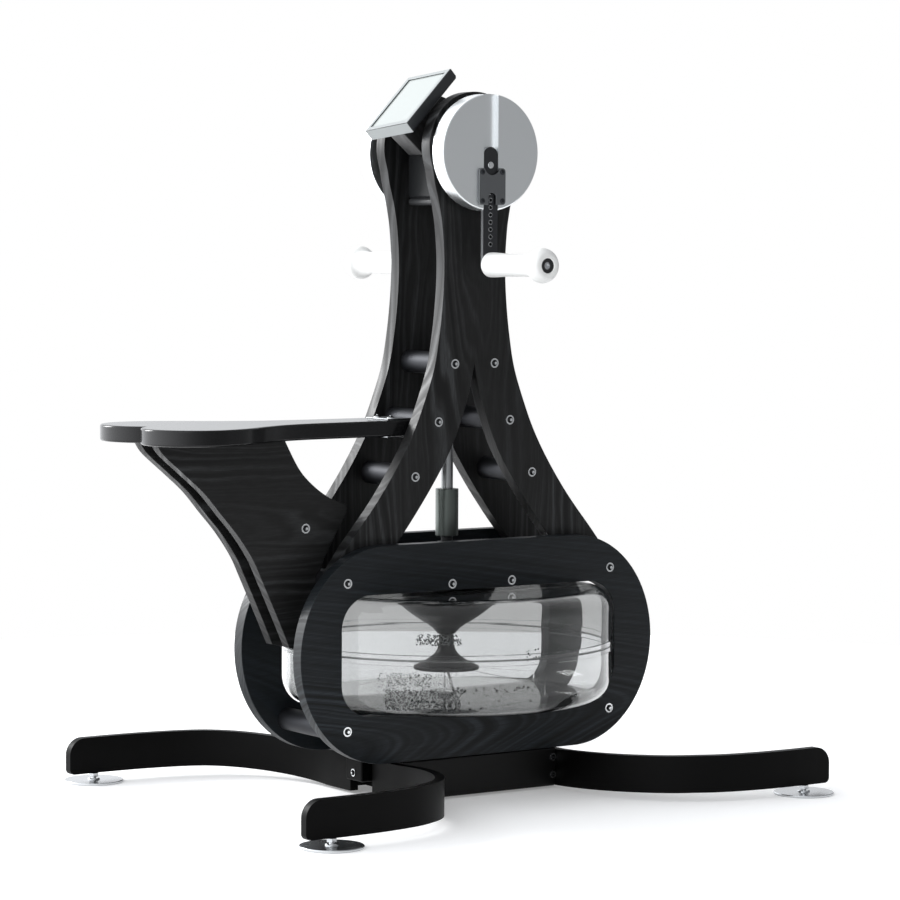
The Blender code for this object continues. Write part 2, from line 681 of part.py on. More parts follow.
def shafts(shop):
    """Split coupling and the long shaft up into the gearbox."""
    low, high = COUPLING_Z
    coupling = shop.add("shaft_coupling", bar_mesh(COUPLING_R, (0, 0, low), high - low, "Z", 24),
                        "dark_steel")
    bore = SHAFT_R + FIT
    shop.cut(coupling, bar_mesh(bore, (0, 0, low - 0.01), high - low + 0.02, "Z", 20))
    slot = box_mesh((bore - 0.002, -COUPLING_SLOT_W / 2, low - 0.01),
                    (COUPLING_R + 0.01, COUPLING_SLOT_W / 2, high + 0.01))
    shop.cut(coupling, slot)
    bottom = COUPLING_Z[0] + 0.033
    seat = CRANK_Z - CROWN_PITCH_R - 0.0145
    top = seat + 0.020
    profile = [(0, top), (PINION_SEAT_R, top), (PINION_SEAT_R, seat), (SHAFT_R, seat),
               (SHAFT_R, bottom), (0, bottom)]
    shop.add("drive_shaft", turned_mesh(profile, 20, closed=False), "dark_steel")


def bevel_gear_mesh(teeth, pitch_r, mate_r, bore, hub_r, hub_length, first_tooth):
    """A straight bevel gear on +Z whose pitch cone's tip is at the origin, with bore and hub.

    A loft of unlike sections: the toothed one at the small end and at the large end, then
    round ones for the hub's outside and the bore, which leads back to the small end.
    """
    pitch_angle = math.atan2(pitch_r, mate_r)
    cone = math.hypot(pitch_r, mate_r)
    module = 2 * pitch_r / teeth
    tip = mate_r * math.tan(pitch_angle + 0.75 * module / cone)
    root = mate_r * math.tan(pitch_angle - 1.1 * module / cone)
    pitch = 2 * math.pi / teeth
    half_root = pitch * TOOTH_SHARE * 0.66
    half_tip = pitch * TOOTH_SHARE * 0.34
    tooth = ((root, -half_root), (tip, -half_tip), (tip, half_tip), (root, half_root))
    small = 1.0 - TEETH_FACE
    end = mate_r + hub_length
    places = ((hub_r, mate_r), (hub_r, end), (bore, end), (bore, mate_r * small))
    small_end = []
    large_end = []
    circles = [[] for _ in places]
    bm = bmesh.new()

    def vertex(radius, angle, z):
        return bm.verts.new((radius * math.cos(angle), radius * math.sin(angle), z))

    for i in range(teeth):
        middle = first_tooth + i * pitch
        for radius, turn in tooth:
            small_end.append(vertex(radius * small, middle + turn, mate_r * small))
            large_end.append(vertex(radius, middle + turn, mate_r))
        for ring, (radius, z) in zip(circles, places):
            ring.append(vertex(radius, middle - half_root, z))
    count = len(small_end)
    for i in range(count):
        j = (i + 1) % count
        bm.faces.new((small_end[i], small_end[j], large_end[j], large_end[i]))
    for i in range(teeth):
        j = (i + 1) % teeth
        for inside, outside in zip(circles, circles[1:]):
            bm.faces.new((inside[i], inside[j], outside[j], outside[i]))
        # One tooth and the gap after it, between the toothed rim and the round ring
        for rim, ring in ((large_end, circles[0]), (small_end, circles[-1])):
            bm.faces.new([ring[i]] + [rim[(4 * i + n) % count] for n in range(5)] + [ring[j]])
    bmesh.ops.triangulate(bm, faces=bm.faces)
    return mesh_from(bm)


def gears(shop):
    """Crown gear on the crank axle and pinion on the drive shaft, in mesh with wide backlash."""
    apex = Matrix.Translation((0, 0, CRANK_Z))
    # After this turn the crown gear's own +Y axis points down to the pinion
    crown = bevel_gear_mesh(CROWN_TEETH, CROWN_PITCH_R, PINION_PITCH_R, AXLE_R + FIT, 0.018, 0.012,
                            math.pi / 2)
    crown.transform(apex @ Matrix.Rotation(-math.pi / 2, 4, "X"))
    shop.add("crown_gear", crown, "bright_steel", shop.crank_line, smooth=False)
    # After this turn the pinion's own -Y axis points at the crown gear's teeth
    half_pitch = math.pi / PINION_TEETH
    pinion = bevel_gear_mesh(PINION_TEETH, PINION_PITCH_R, CROWN_PITCH_R, PINION_SEAT_R + FIT,
                             0.0095, 0.0140, -math.pi / 2 + half_pitch)
    pinion.transform(apex @ Matrix.Rotation(math.pi, 4, "X"))
    shop.add("bevel_pinion", pinion, "bright_steel", smooth=False)


def gearbox(shop):
    """Cast housing between the tower panels, open at the bottom, on its base plate."""
    half_x = GEARBOX_HALF_X
    half_y = TOWER_INNER_Y - FIT
    mesh = box_mesh((-half_x, -half_y, GEARBOX_SEAM_Z), (half_x, half_y, GEARBOX_TOP_Z), GEARBOX_EDGE_R)
    housing = shop.add("gearbox_housing", mesh, "cast_housing")
    wall = GEARBOX_WALL
    shop.cut(housing, box_mesh((-half_x + wall, -half_y + wall, GEARBOX_SEAM_Z - 0.01),
                               (half_x - wall, half_y - wall, GEARBOX_TOP_Z - wall)))
    bore_r = AXLE_R + RUNNING_FIT
    shop.cut(housing, bar_mesh(bore_r, (0, -half_y - 0.01, CRANK_Z), 2 * half_y + 0.02, "Y", 24))
    top = GEARBOX_SEAM_Z - FIT
    low = top - GEARBOX_BASE_H
    base = shop.add("gearbox_base_plate", box_mesh((-half_x, -half_y, low), (half_x, half_y, top),
                                                   GEARBOX_EDGE_R), "cast_housing")
    bore_r = SHAFT_R + RUNNING_FIT
    shop.cut(base, bar_mesh(bore_r, (0, 0, low - 0.01), GEARBOX_BASE_H + 0.02, "Z", 24))


def crank_axle(shop):
    """Axle from groove floor to groove floor."""
    half = GROOVE_FLOOR_Y - FIT
    shop.add("crank_axle", bar_mesh(AXLE_R, (0, -half, CRANK_Z), 2 * half, "Y", 24), "dark_steel",
             shop.crank_line)


def side_turn(sign, z):
    """Places a turned shape whose own +Z axis points out of the machine at a height."""
    return Matrix.Translation((0, 0, z)) @ Matrix.Rotation(-sign * math.pi / 2, 4, "X")


def axle_bearing(shop, name, sign):
    """Flanged bearing in the tower panel's hole."""
    bore = AXLE_R + RUNNING_FIT
    outer = DISC_BACK_Y - 0.001
    profile = [(bore, outer), (BEARING_FLANGE_R, outer), (BEARING_FLANGE_R, TOWER_OUTER_Y + FIT),
               (BEARING_R, TOWER_OUTER_Y + FIT), (BEARING_R, TOWER_INNER_Y + FIT),
               (bore, TOWER_INNER_Y + FIT)]
    shop.add(name, turned_mesh(profile, 24, side_turn(sign, CRANK_Z)), "dark_steel")


def crank_disc(shop, name, sign):
    """Solid disc with a bevelled rim and a groove across its face for the arm."""
    rim = DISC_R
    bevel = DISC_RIM_BEVEL
    profile = [(AXLE_R + FIT, DISC_FACE_Y), (rim - bevel, DISC_FACE_Y), (rim, DISC_FACE_Y - bevel),
               (rim, DISC_BACK_Y), (AXLE_R + FIT, DISC_BACK_Y)]
    disc = shop.add(name, turned_mesh(profile, 44, side_turn(sign, CRANK_Z)), "satin_aluminium",
                    shop.crank_line)
    half = ARM_WIDTH / 2 + FIT
    low, high = span(sign, GROOVE_FLOOR_Y, DISC_FACE_Y + 0.01)
    reach = DISC_R + 0.01
    shop.cut(disc, box_mesh((-half, low, CRANK_Z - reach), (half, high, CRANK_Z + reach)))


def crank_arm(shop, name, sign):
    """Flat bar with a round top, a row of setting holes and the spindle hole."""
    half = ARM_WIDTH / 2
    top = CRANK_Z + ARM_TOP_ABOVE_CRANK
    rim = arc((0, top - half), half, 0, 180, 10) + arc((0, GRIP_Z), half, 180, 360, 10)
    holes = [circle((0, GRIP_Z), SPINDLE_R + FIT, 12)]
    for i in range(ARM_HOLE_COUNT):
        z = CRANK_Z - ARM_HOLE_FIRST_DROP - i * ARM_HOLE_PITCH
        holes.append(circle((0, z), ARM_HOLE_R, 8))
    low, high = span(sign, ARM_BACK_Y, ARM_FACE_Y)
    mesh = board_mesh([rim] + holes, low, high, "XZ")
    shop.add(name, mesh, "anodised_aluminium", shop.crank_line)


def clamp_plate(shop, name, sign):
    """Cover plate on the disc: concave top edge, notch in the bottom edge, four corner lobes."""
    top = CRANK_Z - CLAMP_TOP_DROP
    bottom = top - CLAMP_HEIGHT
    half = CLAMP_WIDTH / 2
    r = CLAMP_CORNER_R
    rim = arc((half - r, top - r), r, 0, 90, 4)
    rim += arc((0, top + 0.004), CLAMP_ARC_R, -16, -164, 10)
    rim += arc((-half + r, top - r), r, 90, 180, 4) + arc((-half + r, bottom + r), r, 180, 270, 4)
    notch_middle = bottom + CLAMP_NOTCH_H - CLAMP_NOTCH_R
    rim += [(-CLAMP_NOTCH_R, bottom)] + arc((0, notch_middle), CLAMP_NOTCH_R, 180, 0, 8)
    rim += [(CLAMP_NOTCH_R, bottom)] + arc((half - r, bottom + r), r, 270, 360, 4)
    face = DISC_FACE_Y + FIT
    low, high = span(sign, face, face + CLAMP_THICKNESS)
    mesh = board_mesh([rim], low, high, "XZ")
    shop.add(name, mesh, "anodised_aluminium", shop.crank_line)


def grip(shop, name, sign):
    """Round grip with a slight waist, a flared end and a recess for the spindle head."""
    start = GRIP_START_Y
    end = GRIP_END_Y
    bore = SPINDLE_R + RUNNING_FIT
    flare = GRIP_FLARE_R
    waist = GRIP_WAIST_R
    profile = [(bore, end - GRIP_RECESS_DEPTH), (GRIP_RECESS_R, end - GRIP_RECESS_DEPTH)]
    profile += [(GRIP_RECESS_R, end), (flare * 0.60, end), (flare * 0.84, end - 0.005)]
    profile += [(flare, end - 0.014), (flare * 0.97, end - 0.020), (waist * 1.10, end - 0.030)]
    profile += [(waist, end - 0.045), (waist, start + 0.050), (GRIP_R * 0.97, start + 0.025)]
    profile += [(GRIP_R, start + 0.010), (GRIP_R, start + 0.0015), (GRIP_R - 0.0015, start)]
    profile += [(bore, start)]
    mesh = turned_mesh(profile, 18, side_turn(sign, GRIP_Z))
    shop.add(name, mesh, "white_grip", shop.grip_line)


def spindle(shop, name, sign):
    """Bolt that the grip turns on, through the arm's lower end."""
    head_low = GRIP_END_Y - GRIP_RECESS_DEPTH + FIT
    profile = [(0, head_low + SPINDLE_HEAD_H), (SPINDLE_HEAD_R - 0.001, head_low + SPINDLE_HEAD_H),
               (SPINDLE_HEAD_R, head_low + SPINDLE_HEAD_H - 0.001), (SPINDLE_HEAD_R, head_low),
               (SPINDLE_R, head_low), (SPINDLE_R, ARM_BACK_Y), (0, ARM_BACK_Y)]
    mesh = turned_mesh(profile, 12, side_turn(sign, GRIP_Z), closed=False)
    shop.add(name, mesh, "bright_steel", shop.grip_line)


def display_place():
    """Local frame of the display: +X right for the reader, +Y up the face, +Z out of the face."""
    right = Vector((0, -1, 0))
    up = Vector((math.cos(DISPLAY_TILT), 0, math.sin(DISPLAY_TILT)))
    out = Vector((-math.sin(DISPLAY_TILT), 0, math.cos(DISPLAY_TILT)))
    frame = Matrix((right, up, out)).transposed().to_4x4()
    return Matrix.Translation(DISPLAY_CENTRE) @ frame


def display_shell(half_w, half_h):
    """Flat box with a crisp front rim and its rear edges sloped away."""
    bm = bmesh.new()
    low = -DISPLAY_THICKNESS
    bmesh.ops.create_cube(bm, size=1, matrix=Matrix.Translation((0, 0, low / 2))
                          @ Matrix.Diagonal((2 * half_w, 2 * half_h, DISPLAY_THICKNESS, 1)))
    for height, width in ((low, DISPLAY_BACK_EDGE), (0, DISPLAY_FRONT_EDGE_R)):
        rim = [e for e in bm.edges if all(abs(v.co.z - height) < 1e-6 for v in e.verts)]
        bmesh.ops.bevel(bm, geom=rim, offset=width, segments=2, profile=0.5, affect="EDGES",
                        clamp_overlap=True)
    return mesh_from(bm)


def display(shop):
    """Housing with a recessed screen, on a boss behind its centre."""
    place = display_place()
    turned = place @ Matrix.Rotation(DISPLAY_TURN, 4, "Z")
    half_w = DISPLAY_WIDTH / 2
    half_h = DISPLAY_HEIGHT / 2
    mesh = display_shell(half_w, half_h)
    mesh.transform(turned)
    housing = shop.add("display_housing", mesh, "black_plastic", shop.display_screw)
    glass_w = half_w - SCREEN_BORDER
    glass_h = half_h - SCREEN_BORDER
    pocket = box_mesh((-glass_w, -glass_h, -SCREEN_RECESS - 0.002), (glass_w, glass_h, 0.01))
    pocket.transform(turned)
    shop.cut(housing, pocket)
    boss = bar_mesh(DISPLAY_BOSS_R, (0, 0, -DISPLAY_THICKNESS - DISPLAY_BOSS_H),
                    DISPLAY_BOSS_H + 0.002, "Z", 20)
    boss.transform(turned)
    shop.join(housing, boss)
    screen = box_mesh((-glass_w + FIT, -glass_h + FIT, -SCREEN_RECESS - 0.002 + FIT),
                      (glass_w - FIT, glass_h - FIT, -SCREEN_RECESS))
    screen.transform(turned)
    shop.add("display_screen", screen, "display_glass", shop.display_screw)


def display_bracket(shop):
    """Wooden strut from the gearbox front up to a plate behind the display."""
    place = display_place()
    back = -DISPLAY_THICKNESS - DISPLAY_BOSS_H - FIT
    up = place.to_3x3() @ Vector((0, 1, 0))
    out = place.to_3x3() @ Vector((0, 0, 1))
    base = place @ Vector((0, 0, back))

    def at(along, behind):
        point = base + up * along - out * behind
        return (point.x, point.z)

    front = -GEARBOX_HALF_X - FIT
    over = GEARBOX_TOP_Z + FIT
    elbow = at(*BRACKET_ELBOW)
    strut = [at(BRACKET_PLATE_TOP, 0), at(BRACKET_PLATE_BOTTOM, 0), at(*BRACKET_NOSE), elbow]
    strut += [(front, elbow[1] - BRACKET_ELBOW_DROP), (front, over), (front + BRACKET_SEAT_LENGTH, over)]
    strut += [at(BRACKET_NECK, BRACKET_PLATE_T), at(BRACKET_PLATE_TOP, BRACKET_PLATE_T)]
    half = BRACKET_WIDTH / 2
    mesh = board_mesh([strut], -half, half, "XZ", BRACKET_EDGE_R)
    shop.add("display_bracket", mesh, "black_stained_ash")


def seat_board(shop):
    """Seat with two round lobes at its front edge, narrowing to the tower."""
    start = math.degrees(math.acos(min(1, SEAT_LOBE_Y / SEAT_LOBE_R)))
    near = arc((SEAT_LOBE_X, SEAT_LOBE_Y), SEAT_LOBE_R, 270 - start, 75, 12)
    side = smooth_line([near[-1]] + list(SEAT_SIDE) + [(SEAT_END_X, SEAT_END_HALF)], 2)[1:]
    half = near + side
    other = [(x, -y) for x, y in reversed(half)]
    rim = half + other[:-1]
    mesh = board_mesh([rim], SEAT_BOTTOM_Z, SEAT_TOP_Z, "XY", SEAT_EDGE_R, 2, rounded=(1,))
    shop.add("seat_board", mesh, "black_lacquered_wood")


def seat_support(shop, name, sign):
    """Curved board under the seat, notched over the upper rear spacer bar."""
    front = smooth_line([(SUPPORT_FRONT_TOP_X, SUPPORT_TOP_Z)] + list(SUPPORT_FRONT)
                        + [SUPPORT_TOE[0]], 2)
    rear = [SUPPORT_TOE[1]] + list(SUPPORT_REAR_LOWER)
    rear += smooth_line(list(SUPPORT_HEEL), 1)
    rear += smooth_line([SUPPORT_HEEL[-1]] + list(SUPPORT_REAR_UPPER)
                        + [(SUPPORT_REAR_TOP_X, SUPPORT_TOP_Z)], 2)[1:]
    low, high = span(sign, SUPPORT_INNER_Y, SUPPORT_OUTER_Y)
    mesh = board_mesh([front + rear], low, high, "XZ", PANEL_EDGE_R, rounded=(sign,))
    support = shop.add(name, mesh, "black_stained_ash")
    notch = bar_mesh(RUNG_R + FIT, (-SPACER_X, low - 0.01, PANEL_MID_Z + SPACER_RISE),
                     high - low + 0.02, "Y", 28)
    shop.cut(support, notch)


def seat_fittings(shop):
    """Spacer between the supports and the steel leaves that hold the seat at its rung."""
    x, z = SUPPORT_BOLT
    half = SUPPORT_INNER_Y - FIT
    shop.add("seat_support_spacer", bar_mesh(SUPPORT_SPACER_R, (x, -half, z), 2 * half, "Y", 24),
             "dark_steel")
    low = SEAT_TOP_Z + FIT
    mesh = box_mesh((CLIP_START_X, -CLIP_WIDTH / 2, low),
                    (SEAT_END_X, CLIP_WIDTH / 2, low + CLIP_THICKNESS), 0.0005)
    shop.add("seat_clip_top", mesh, "bright_steel")
    high = SEAT_BOTTOM_Z - FIT
    mesh = box_mesh((CLIP_START_X, -CLIP_WIDTH / 2, high - CLIP_THICKNESS),
                    (-RUNG_PLACES["middle"][0], CLIP_WIDTH / 2, high), 0.0005)
    shop.add("seat_clip_bottom", mesh, "bright_steel")


def base_rail(shop, name, sign):
    """Steel rail that a side panel stands on."""
    low, high = span(sign, RAIL_OUTER_Y - RAIL_WIDTH, RAIL_OUTER_Y)
    mesh = box_mesh((-RAIL_HALF_LENGTH, low, RAIL_BOTTOM_Z), (RAIL_HALF_LENGTH, high, RAIL_TOP_Z), 0.002)
    shop.add(name, mesh, "black_powder_coat")


def base_spine(shop):
    """Welded middle of the base: two cross members between the rails with a beam along the top."""
    half_y = RAIL_OUTER_Y - RAIL_WIDTH - FIT
    low, high = CROSS_Z
    mesh = box_mesh((-SPINE_HALF_LENGTH, -SPINE_HALF_WIDTH, high),
                    (SPINE_HALF_LENGTH, SPINE_HALF_WIDTH, SPINE_TOP_Z), 0.003, 2)
    spine = shop.add("base_spine", mesh, "black_powder_coat")
    for sign in (-1, 1):
        x = sign * CROSS_X
        cross = box_mesh((x - CROSS_WIDTH / 2, -half_y, low), (x + CROSS_WIDTH / 2, half_y, high + 0.004))
        shop.join(spine, cross)


def leg_outline():
    """Both edges of the leg in plan, at half its thickness from the centre line."""
    line = [Vector(p) for p in smooth_line(list(LEG_PATH), LEG_STEPS)]
    inner = []
    outer = []
    for i, point in enumerate(line):
        ahead = line[min(i + 1, len(line) - 1)] - line[max(i - 1, 0)]
        across = Vector((-ahead.y, ahead.x)).normalized() * LEG_THICKNESS / 2
        inner.append(tuple(point + across))
        outer.append(tuple(point - across))
    return inner + outer[::-1]


def leg(shop, name, sign_x, sign_y):
    """Flat bar on edge, curved in plan, rising a little to its round outer end."""
    mesh = board_mesh([leg_outline()], LEG_BOTTOM_Z, LEG_BOTTOM_Z + LEG_HEIGHT, "XY")
    bm = bmesh.new()
    bm.from_mesh(mesh)
    bpy.data.meshes.remove(mesh)
    end_x = LEG_PATH[-1][0]
    top_z = LEG_BOTTOM_Z + LEG_HEIGHT
    for corner_z, radius, segments in ((top_z, LEG_END_R, 6), (LEG_BOTTOM_Z, 0.008, 3)):
        found = [e for e in bm.edges
                 if all(v.co.x > end_x - 0.002 and abs(v.co.z - corner_z) < 1e-4 for v in e.verts)]
        bmesh.ops.bevel(bm, geom=found, offset=radius, segments=segments, profile=0.5,
                        affect="EDGES", clamp_overlap=False)
    root_y = RAIL_OUTER_Y
    for vert in bm.verts:
        share = min(1, max(0, (vert.co.y - root_y) / (FOOT_Y - 0.03 - root_y)))
        vert.co.z -= LEG_ROOT_DROP * (1 - share)
    bm.transform(Matrix.Diagonal((sign_x, sign_y, 1, 1)))
    bmesh.ops.triangulate(bm, faces=bm.faces)
    part = shop.add(name, mesh_from(bm), "black_powder_coat")
    bore = bar_mesh(STUD_R + RUNNING_FIT, (sign_x * FOOT_X, sign_y * FOOT_Y, LEG_BOTTOM_Z - 0.01),
                    STUD_TOP_Z + 0.002 - (LEG_BOTTOM_Z - 0.01), "Z", 16)
    shop.cut(part, bore)


def foot(shop, name, sign_x, sign_y):
    """Steel disc with a stud that screws into the leg, and its lock nut."""
    at = (sign_x * FOOT_X, sign_y * FOOT_Y, 0)
    profile = [(0, FOOT_DISC_H), (FOOT_R - 0.001, FOOT_DISC_H), (FOOT_R, FOOT_DISC_H - 0.001)]
    profile += [(FOOT_R, 0), (0, 0)]
    disc = turned_mesh(profile, 24, Matrix.Translation(at), closed=False)
    part = shop.add(name, disc, "bright_steel", shop.pivot(name + "_stud_axis", at))
    low = FOOT_DISC_H / 2
    shop.join(part, bar_mesh(STUD_R, (at[0], at[1], low), STUD_TOP_Z - low, "Z", 8))
    nut_top = LEG_BOTTOM_Z - FIT
    shop.join(part, bar_mesh(NUT_R, (at[0], at[1], nut_top - NUT_H), NUT_H, "Z", 6))


def base_corners(shop):
    for end, sign_x in (("rear", -1), ("front", 1)):
        for side, sign_y in (("right", -1), ("left", 1)):
            leg(shop, f"leg_{end}_{side}", sign_x, sign_y)
            foot(shop, f"foot_{end}_{side}", sign_x, sign_y)


def main():
    shop = Workshop()
    both_sides("side_panel", shop, side_panel)
    both_sides("tower_panel", shop, tower_panel)
    rungs(shop)
    spacers(shop)
    tank(shop)
    tank_beam(shop)
    shaft_bearing(shop)
    paddle(shop)
    shafts(shop)
    gears(shop)
    gearbox(shop)
    crank_axle(shop)
    both_sides("axle_bearing", shop, axle_bearing)
    both_sides("crank_disc", shop, crank_disc)
    both_sides("crank_arm", shop, crank_arm)
    both_sides("clamp_plate", shop, clamp_plate)
    both_sides("handle_grip", shop, grip)
    both_sides("handle_spindle", shop, spindle)
    display(shop)
    display_bracket(shop)
    seat_board(shop)
    both_sides("seat_support", shop, seat_support)
    seat_fittings(shop)
    both_sides("base_rail", shop, base_rail)
    base_spine(shop)
    base_corners(shop)


main()
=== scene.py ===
"""The look of the water grinder ergometer, built over its CAD frame.

Each piece has its own button in the sidebar of the 3D view. Run as a script, the file
presses all of them in order, from the wooden boards to the studio.
"""

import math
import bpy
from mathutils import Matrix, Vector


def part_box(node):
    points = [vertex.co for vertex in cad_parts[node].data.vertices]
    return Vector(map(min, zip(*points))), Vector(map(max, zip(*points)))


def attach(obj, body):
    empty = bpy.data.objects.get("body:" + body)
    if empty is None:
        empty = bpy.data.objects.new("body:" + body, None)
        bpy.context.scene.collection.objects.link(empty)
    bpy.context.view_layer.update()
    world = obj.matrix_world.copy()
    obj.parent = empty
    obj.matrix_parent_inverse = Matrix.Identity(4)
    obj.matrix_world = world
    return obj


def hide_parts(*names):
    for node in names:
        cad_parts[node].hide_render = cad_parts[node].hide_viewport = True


bl_info = {
    "name": "Water grinder ergometer",
    "version": (1, 0, 0),
    "blender": (4, 5, 0),
    "location": "3D View > Sidebar > Ergometer",
    "description": "Dresses the CAD frame of a water grinder ergometer in its real finishes",
    "category": "Object",
}

import bmesh
import bpy
from bpy.props import FloatProperty, FloatVectorProperty, IntProperty, PointerProperty
from mathutils import Matrix, Vector

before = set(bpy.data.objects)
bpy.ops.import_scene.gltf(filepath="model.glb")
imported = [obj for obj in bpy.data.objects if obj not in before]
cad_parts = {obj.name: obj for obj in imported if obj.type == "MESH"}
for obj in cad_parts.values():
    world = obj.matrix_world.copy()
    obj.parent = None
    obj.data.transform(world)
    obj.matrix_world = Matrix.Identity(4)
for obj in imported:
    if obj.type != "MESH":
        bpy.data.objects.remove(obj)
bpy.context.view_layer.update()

SIDES = (("right", -1), ("left", 1))
ENDS = (("rear", -1), ("front", 1))
MM = 0.001
# Lays a bar that was made along Z along Y
ALONG_Y = Matrix.Rotation(math.pi / 2, 4, "X")

# The end of a side panel is half an ellipse, this much shorter than a half circle
PANEL_END_SHARE = 0.91

# Outline of one side of a tower panel, from under the head down: (height, half width)
TOWER_OUTLINE = (
    (0.940, 0.0765), (0.920, 0.0730), (0.900, 0.0675), (0.880, 0.0630), (0.850, 0.0585),
    (0.800, 0.0555), (0.745, 0.0580), (0.690, 0.0645), (0.640, 0.0745), (0.580, 0.0965),
    (0.540, 0.1150), (0.500, 0.1385), (0.4600, 0.1660), (0.4300, 0.1895), (0.400, 0.2150),
    (0.3725, 0.2370), (0.345, 0.2560),
)
# Inner edge of a tower leg, from the fork down: (height, half width)
LEG_INNER_OUTLINE = (
    (0.652, 0.0), (0.600, 0.0120), (0.540, 0.0350), (0.502, 0.0550), (0.4464, 0.0925),
    (0.3877, 0.1380), (0.345, 0.1780),
)
# Outer and inner corner of the leg's foot: (half width, height)
TOWER_FOOT = ((0.268, 0.3185), (0.200, 0.3185))
HEAD_Z, HEAD_R = 0.975, 0.083

# Side of the seat from its lobe to the tower: (x, half width)
SEAT_SIDE = (
    (-0.425, 0.1200), (-0.375, 0.0890), (-0.330, 0.0660), (-0.280, 0.0525), (-0.220, 0.0470),
    (-0.150, 0.0450),
)
# One of the two lobes at its front: its centre and radius
SEAT_LOBE = ((-0.480, 0.060), 0.075)

# Edges of a seat support: (x, z)
SUPPORT_FRONT = (
    (-0.5240, 0.5437), (-0.5120, 0.5272), (-0.4764, 0.4971), (-0.4452, 0.4700),
    (-0.4171, 0.4383), (-0.3890, 0.4063), (-0.3643, 0.3712), (-0.3480, 0.3385),
    (-0.3200, 0.2790), (-0.3015, 0.2380),
)
SUPPORT_REAR_LOWER = ((-0.2790, 0.2330), (-0.2640, 0.2900), (-0.2590, 0.3180))
SUPPORT_HEEL = ((-0.2411, 0.3678), (-0.2022, 0.4340), (-0.2030, 0.4445), (-0.2078, 0.4473))
SUPPORT_REAR_UPPER = (
    (-0.2078, 0.4473), (-0.2318, 0.4561), (-0.2591, 0.4744), (-0.2846, 0.5003), (-0.3097, 0.5437),
)

# Centre line of the front left leg in plan, from its root to its end
LEG_PATH = (
    (0.1470, 0.0300), (0.1470, 0.0800), (0.1475, 0.1350), (0.1570, 0.1900), (0.1790, 0.2450),
    (0.2140, 0.2920), (0.2640, 0.3230), (0.3300, 0.3380), (0.3900, 0.3425), (0.4236, 0.3428),
    (0.4688, 0.3418),
)

# Rungs, and the screws in their ends: (distance from the tower's middle, height)
RUNG_PLACES = {"upper": (0.0360, 0.6518), "middle": (0.0651, 0.5655), "lower": (0.1067, 0.4848)}
CRANK_Z, GRIP_Z, SPINDLE_BORE = 0.967, 0.800, 0.0063

# Screws: (x, z) on a face at this distance from the middle plane
PANEL_SCREWS, PANEL_FACE = ((0.2396, 0.3344), (0.2396, 0.1162), (0.0543, 0.3245)), 0.0947
TOWER_FACE = 0.0724
RAIL_SCREWS, RAIL_FACE = ((0.134, 0.0485), (0.134, 0.0215)), 0.0945
SUPPORT_SCREW, SUPPORT_FACE = (-0.2740, 0.4124), 0.0330
STOP_BOLT_Z, ARM_FACE = 0.948, 0.1118
# The upper seat clip's (x, y, top), and the spine's end and the height of its screw
CLIP_SCREW = (-0.115, 0.018, 0.5703)
SPINE_END, SPINE_Z = 0.168, 0.0375
# A clamp plate's screws: from its middle, and from its upper and lower edge
CLAMP_SCREW = (0.0178, 0.0058)


def srgb(hex_colour):
    """Linear red, green and blue of an sRGB hex value."""
    values = [int(hex_colour[i:i + 2], 16) / 255 for i in (0, 2, 4)]
    return tuple(v / 12.92 if v <= 0.04045 else ((v + 0.055) / 1.055) ** 2.4 for v in values)


def middle_of(node):
    """The middle of a CAD node's box."""
    low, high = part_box(node)
    return (low + high) / 2


def layer(node):
    """The Y range of a CAD node."""
    low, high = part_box(node)
    return low.y, high.y


def reach(node):
    """How far a CAD node that stands on one side begins and ends from the middle plane."""
    return sorted(abs(y) for y in layer(node))


TOWER_X = middle_of("tank_upper_shell").x


# Sizes and colours that a user would change


def colour(name, description, hex_colour):
    return FloatVectorProperty(name=name, description=description, subtype="COLOR", size=3,
                               min=0.0, max=1.0, default=srgb(hex_colour))


def amount(name, description, default, least=0.0, **more):
    return FloatProperty(name=name, description=description, default=default, min=least, **more)


def length(name, description, millimetres, precision=4):
    return amount(name, description, millimetres * MM, subtype="DISTANCE", unit="LENGTH",
                  precision=precision)


class ERGO_PG_wood(bpy.types.PropertyGroup):
    stain: colour("Stain", "Black stain on the ash boards", "131313")
    panel_stain: colour("Panel stain", "Stain on the two lower side panels", "101417")
    grain: colour("Grain", "Lighter late wood between the pores", "303132")
    pores: colour("Pores", "Bands of open pores", "060607")
    ring: length("Ring spacing", "Distance between two bands of pores", 7.0)
    rounding: length("Edge rounding", "Radius of the boards' edges", 2.0)
    lacquer: colour("Seat lacquer", "Gloss lacquer on the seat", "0e0e0f")


class ERGO_PG_metal(bpy.types.PropertyGroup):
    bright: colour("Bright steel", "Feet, clips, gears and bolts", "c6c8ca")
    dark: colour("Dark steel", "Crank axle", "36383a")
    aluminium: colour("Aluminium", "Turned faces of the crank discs", "f0f3f4")
    anodised: colour("Anodised", "Crank arms", "454648")
    clamp: colour("Clamp plate", "Clamp plates on the discs", "747678")
    coat: colour("Powder coat", "Steel base and beam", "030303")
    break_edge: length("Broken edge", "Small bevel on machined edges", 0.5)


class ERGO_PG_tank(bpy.types.PropertyGroup):
    tint: colour("Tint", "Clear polycarbonate", "d0d1d1")
    wall: length("Wall", "Thickness of the shells", 4.0)
    shoulder: length("Shoulder", "Radius where the wall meets roof and floor", 32.0)
    flange: length("Flange", "How far the flange stands out", 2.5)
    flange_height: length("Flange height", "Height of each half of the flange", 6.9)
    port: length("Port", "Radius of the hole for the bearing", 25.0)
    drops: IntProperty(name="Drops", description="Droplets in the wet patch on the wall",
                       default=640, min=0, max=2000)
    drop: length("Drop size", "Radius of a common droplet", 1.15)


